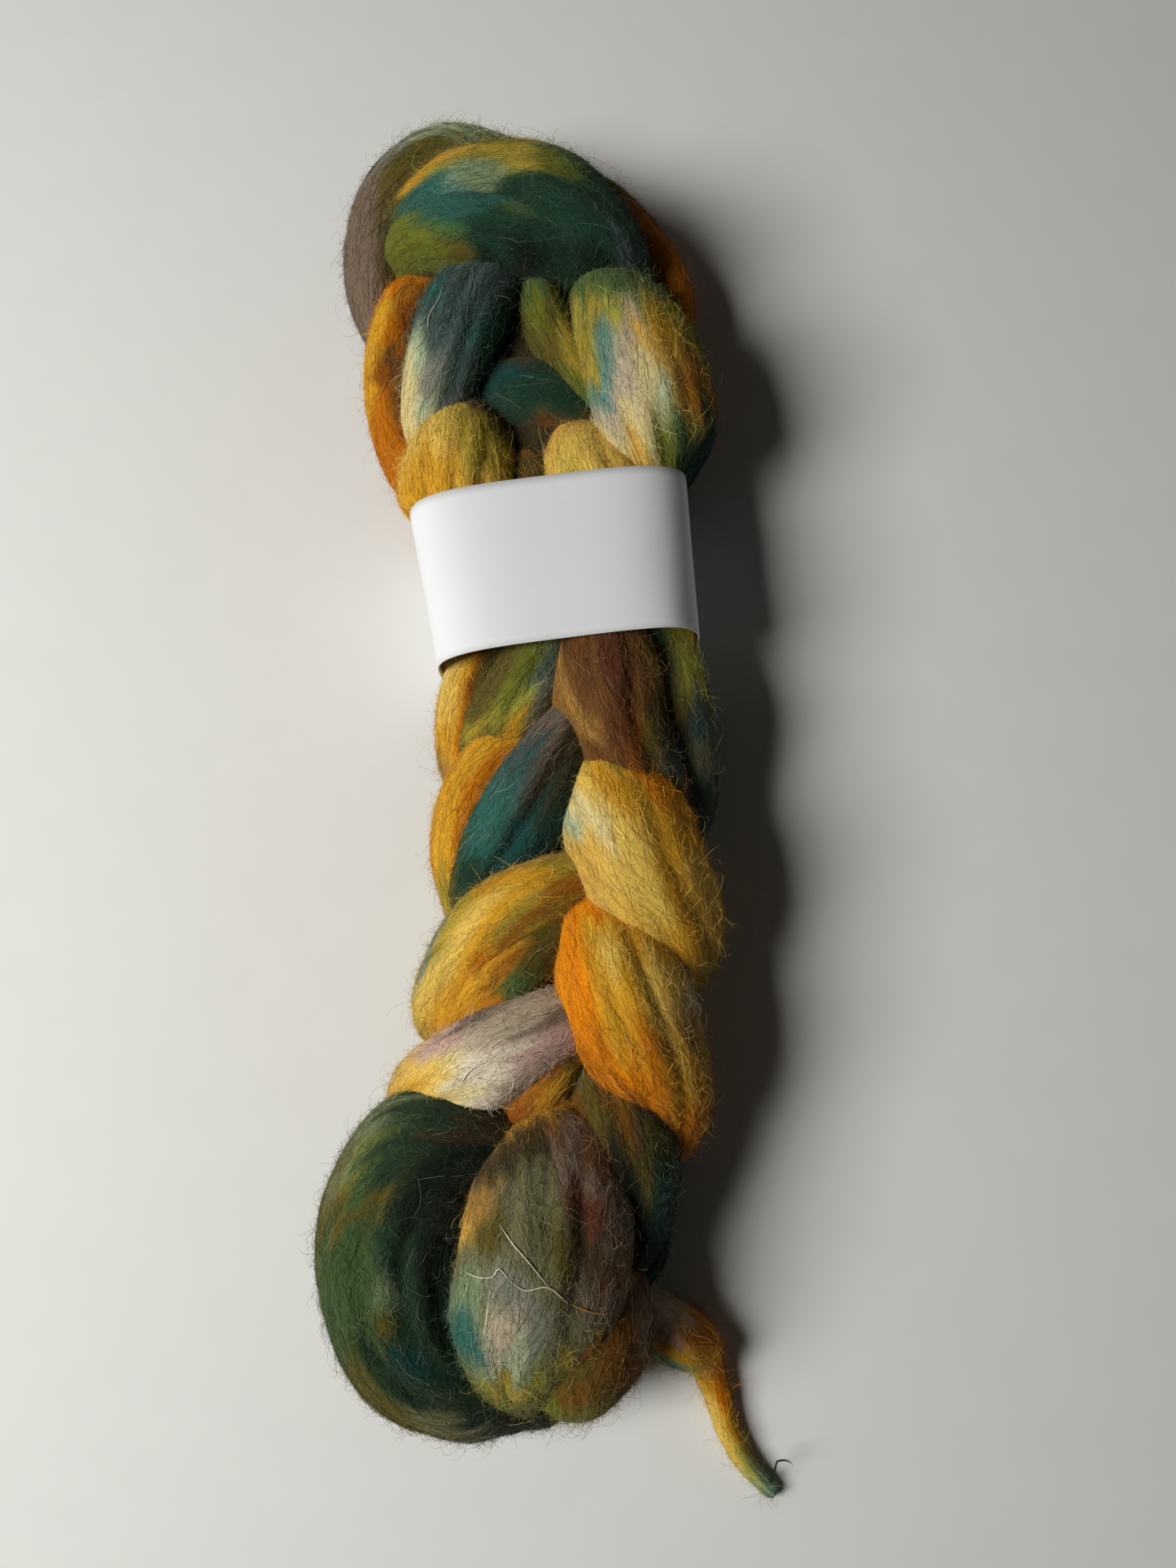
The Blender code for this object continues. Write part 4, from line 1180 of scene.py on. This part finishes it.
def sleeve_ring(along, inset, count, wave=0.0):
    """One turn of the sleeve's section at this place, drawn in from its outside by the inset and wave."""
    angle = 2 * math.pi * np.arange(count) / count
    cosine, sine = np.cos(angle), np.sin(angle)
    half, up = band_sizes(along, sine)
    drawn = inset + wave
    across = squared_off(cosine) * (half - drawn)
    rise = squared_off(sine) * (up - drawn)
    return from_band_frame(across, along, np.maximum(BAND_MIDDLE_Z + rise, inset))


def frame_shift():
    """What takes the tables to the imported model's frame, found from the sleeve's solid there."""
    ends = [sleeve_ring(end * BAND_LENGTH, 0.0, BAND_SOLID_AROUND) for end in (-0.5, 0.5)]
    low = np.min(np.vstack(ends), axis=0)
    solid_low = np.array(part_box("paper_band")[0]) / MM
    return np.array([solid_low[0] - low[0], solid_low[1] - low[1], 0.0])


def sleeve_mesh():
    """The paper sleeve as a closed strip with a slight wave."""
    rng = np.random.default_rng((SEED, PAPER_SEED))
    places = np.linspace(-0.5 * BAND_LENGTH, 0.5 * BAND_LENGTH, PAPER_ALONG)
    share = np.broadcast_to(np.linspace(0, 1, PAPER_ALONG)[:, None], (PAPER_ALONG, PAPER_AROUND))
    around = np.broadcast_to(np.arange(PAPER_AROUND) / PAPER_AROUND, share.shape)
    wave = PAPER_WAVE * (0.5 + 0.5 * smooth_noise(rng, share, around, *PAPER_WAVE_CELLS))
    outer = [sleeve_ring(place, 0.0, PAPER_AROUND, row) for place, row in zip(places, wave)]
    inner = [sleeve_ring(place, PAPER_THICK, PAPER_AROUND, row) for place, row in zip(places, wave)]
    rings = np.stack(outer + inner[::-1])
    index = np.arange(rings.shape[0] * PAPER_AROUND).reshape(rings.shape[0], PAPER_AROUND)
    right = np.roll(index, -1, axis=1)
    below = np.roll(index, -1, axis=0)
    quads = np.stack([index, right, np.roll(right, -1, axis=0), below], axis=-1).reshape(-1, 4)
    flow = np.stack([around * PAPER_GIRTH, share * BAND_LENGTH, np.zeros(share.shape)], axis=-1)
    flow = np.concatenate([flow, flow[::-1]])
    return mesh_from("paper_sleeve", rings.reshape(-1, 3), quads, None, flow.reshape(-1, 3))


class Shader:
    """A material's node tree with short calls for the nodes that it needs."""

    def __init__(self, name, roughness, specular):
        self.material = bpy.data.materials.new(name)
        self.material.use_nodes = True
        self.tree = self.material.node_tree
        self.surface = self.tree.nodes["Principled BSDF"]
        self.set("Roughness", roughness)
        self.set("Specular IOR Level", specular)

    def set(self, name, value):
        self.surface.inputs[name].default_value = value

    def add(self, kind, **settings):
        node = self.tree.nodes.new(kind)
        for name, value in settings.items():
            setattr(node, name, value)
        return node

    def link(self, output, target):
        self.tree.links.new(output, target)

    def attribute(self, name, output):
        return self.add("ShaderNodeAttribute", attribute_name=name).outputs[output]

    def place(self):
        return self.add("ShaderNodeTexCoord").outputs["Object"]

    def plain(self, colour):
        """A constant colour."""
        node = self.add("ShaderNodeCombineColor")
        for channel, value in zip(("Red", "Green", "Blue"), colour):
            node.inputs[channel].default_value = value
        return node.outputs["Color"]

    def streaks(self, vector, scale, detail):
        """Noise from 0 to 1 that is stretched by the scale of each axis."""
        mapping = self.add("ShaderNodeMapping")
        mapping.inputs["Scale"].default_value = scale
        self.link(vector, mapping.inputs["Vector"])
        noise = self.add("ShaderNodeTexNoise")
        noise.inputs["Scale"].default_value = 1.0
        noise.inputs["Detail"].default_value = detail
        self.link(mapping.outputs["Vector"], noise.inputs["Vector"])
        return noise.outputs["Fac"]

    def ranged(self, value, low, high):
        """The value with its middle range stretched from low to high."""
        node = self.add("ShaderNodeMapRange")
        node.inputs["From Min"].default_value, node.inputs["From Max"].default_value = NOISE_RANGE
        node.inputs["To Min"].default_value = low
        node.inputs["To Max"].default_value = high
        self.link(value, node.inputs["Value"])
        return node.outputs["Result"]

    def math(self, operation, first, second):
        node = self.add("ShaderNodeMath", operation=operation)
        self.link(first, node.inputs[0])
        if isinstance(second, float):
            node.inputs[1].default_value = second
        else:
            self.link(second, node.inputs[1])
        return node.outputs[0]

    def paint(self, colour, shade=None):
        """Gives the surface the colour, made lighter or darker by the shade."""
        if shade is not None:
            node = self.add("ShaderNodeVectorMath", operation="SCALE")
            self.link(colour, node.inputs[0])
            self.link(shade, node.inputs["Scale"])
            colour = node.outputs[0]
        self.link(colour, self.surface.inputs["Base Color"])

    def bump(self, height, strength, distance):
        node = self.add("ShaderNodeBump")
        node.inputs["Strength"].default_value = strength
        node.inputs["Distance"].default_value = distance * MM
        self.link(height, node.inputs["Height"])
        self.link(node.outputs["Normal"], self.surface.inputs["Normal"])


def bundle_material():
    """Combed fibre: faint streaks along the flow, a felted grain and a soft bloom."""
    shader = Shader("combed_fibre", roughness=0.9, specular=0.05)
    shader.set("Sheen Weight", 0.12)
    shader.set("Sheen Roughness", 0.5)
    shader.set("Sheen Tint", SHEEN_TINT)
    flow = shader.attribute("flow", "Vector")
    fine = shader.streaks(flow, scale=(2.8, 0.3, 1.0), detail=4.0)
    locks = shader.streaks(flow, scale=(0.5, 0.05, 1.0), detail=3.0)
    felt = shader.streaks(flow, scale=(2.2, 1.3, 1.0), detail=5.0)
    fine_shade = shader.ranged(fine, low=0.92, high=1.07)
    lock_shade = shader.ranged(locks, low=0.9, high=1.08)
    felt_shade = shader.ranged(felt, low=0.88, high=1.1)
    shade = shader.math("MULTIPLY", shader.math("MULTIPLY", fine_shade, lock_shade), felt_shade)
    shader.paint(shader.attribute("dye", "Color"), shade)
    grain = shader.math("ADD", fine, felt)
    height = shader.math("ADD", grain, shader.math("MULTIPLY", locks, LOCK_BUMP))
    shader.bump(height, strength=0.3, distance=0.4)
    return shader.material


def strand_material():
    """Single locks and fibres, with the soft gloss of wool and silk."""
    shader = Shader("single_fibres", roughness=0.6, specular=0.12)
    shader.set("Sheen Weight", 0.08)
    shader.set("Sheen Tint", SHEEN_TINT)
    shader.paint(shader.attribute("dye", "Color"))
    return shader.material


def silk_material():
    """Glossy silk with a slight unevenness."""
    shader = Shader("silk", roughness=0.35, specular=0.6)
    uneven = shader.streaks(shader.place(), scale=(600.0, 600.0, 600.0), detail=2.0)
    shader.paint(shader.attribute("dye", "Color"), shader.ranged(uneven, low=0.8, high=1.1))
    return shader.material


def paper_material():
    """Smooth matt white paper with a very faint fibre grain."""
    shader = Shader("matt_paper", roughness=0.62, specular=0.3)
    flow = shader.attribute("flow", "Vector")
    grain = shader.streaks(flow, scale=(1.6, 1.6, 1.0), detail=4.0)
    cloud = shader.streaks(flow, scale=(0.05, 0.05, 1.0), detail=2.0)
    grain_shade = shader.ranged(grain, low=0.985, high=1.01)
    cloud_shade = shader.ranged(cloud, low=0.985, high=1.01)
    shader.paint(shader.plain(PAPER_COLOUR), shader.math("MULTIPLY", grain_shade, cloud_shade))
    shader.bump(grain, strength=0.08, distance=0.1)
    return shader.material


def floor_material():
    """A plain pale floor with a barely seen mottle."""
    shader = Shader("pale_floor", roughness=0.9, specular=0.15)
    mottle = shader.streaks(shader.place(), scale=(60.0, 60.0, 60.0), detail=3.0)
    shader.paint(shader.plain(FLOOR_COLOUR), shader.ranged(mottle, low=0.99, high=1.01))
    return shader.material


def add_camera():
    """The photograph's camera, at the photo's angle and distance."""
    data = bpy.data.cameras.new("camera")
    data.sensor_fit = "AUTO"
    data.sensor_width = SENSOR
    data.lens = SENSOR * FOCAL_PIXELS / max(PHOTO_SIZE)
    data.clip_start = 0.01
    camera = bpy.data.objects.new("camera", data)
    back = np.array([0.0, -math.sin(CAMERA_TILT), math.cos(CAMERA_TILT)])
    camera.location = (CAMERA_DISTANCE * back + SHIFT) * MM
    camera.rotation_euler = (CAMERA_TILT, 0.0, 0.0)
    bpy.context.scene.collection.objects.link(camera)
    bpy.context.scene.camera = camera


def add_window():
    """A soft lamp at the left that faces the middle of the braid."""
    data = bpy.data.lights.new("window", "AREA")
    data.shape = "RECTANGLE"
    data.size, data.size_y = WINDOW_SIZE
    data.energy = WINDOW_POWER
    data.color = WINDOW_COLOUR
    lamp = bpy.data.objects.new("window", data)
    lamp.location = WINDOW_PLACE
    lamp.rotation_mode = "QUATERNION"
    lamp.rotation_quaternion = Vector(WINDOW_PLACE).to_track_quat("Z", "Y")
    bpy.context.scene.collection.objects.link(lamp)


def add_surroundings():
    """The pale floor, the dim room and the window's light."""
    scene = bpy.context.scene
    scene.view_settings.view_transform = "Standard"
    world = bpy.data.worlds.new("studio")
    world.use_nodes = True
    background = world.node_tree.nodes["Background"]
    background.inputs["Color"].default_value = ROOM_COLOUR
    background.inputs["Strength"].default_value = ROOM_STRENGTH
    scene.world = world
    add_window()
    half = 0.5 * FLOOR_SIZE / MM
    corners = np.array([(-half, -half, 0), (half, -half, 0), (half, half, 0), (-half, half, 0)]) - SHIFT
    floor = bpy.data.objects.new("floor", mesh_from("floor", corners, [(0, 1, 2, 3)]))
    floor.data.materials.append(floor_material())
    scene.collection.objects.link(floor)


# Added to a point of the tables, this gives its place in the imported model's frame.
SHIFT = frame_shift()
add_camera()
add_surroundings()
all_bundles = make_bundles()
mark_open(all_bundles)
fibre = bundle_material()
strand = strand_material()
by_name = {bundle.name: bundle for bundle in all_bundles}
# The hidden heart of the chain and the bumps on its back are one more piece.
PIECES["back_bumps"] = [name for name in by_name if name == "core" or name.startswith("back_")]
for piece_name, names in PIECES.items():
    group = [by_name[name] for name in names]
    add_piece(piece_name, join_bundles(piece_name, group), fibre, "fibre", "braid")
for order, row in enumerate(STRANDS):
    add_piece(row[0], comb_strands(all_bundles, order, *row), strand, "fibre", "braid")
for order, row in enumerate(STRAYS):
    add_piece(row[0], stray_fibres(all_bundles, order, *row), strand, "fibre", "braid")
silk = tube_mesh("silk_threads", *silk_paths(by_name))
add_piece("silk_threads", silk, silk_material(), "fibre", "braid")
wisp = tube_mesh("wiry_wisp", [curve_through(WISP)], [WISP_RADIUS], [DYES["ink"]])
add_piece("wiry_wisp", wisp, strand, "fibre", "braid")
add_piece("paper_sleeve", sleeve_mesh(), paper_material(), "paper", "paper_band")
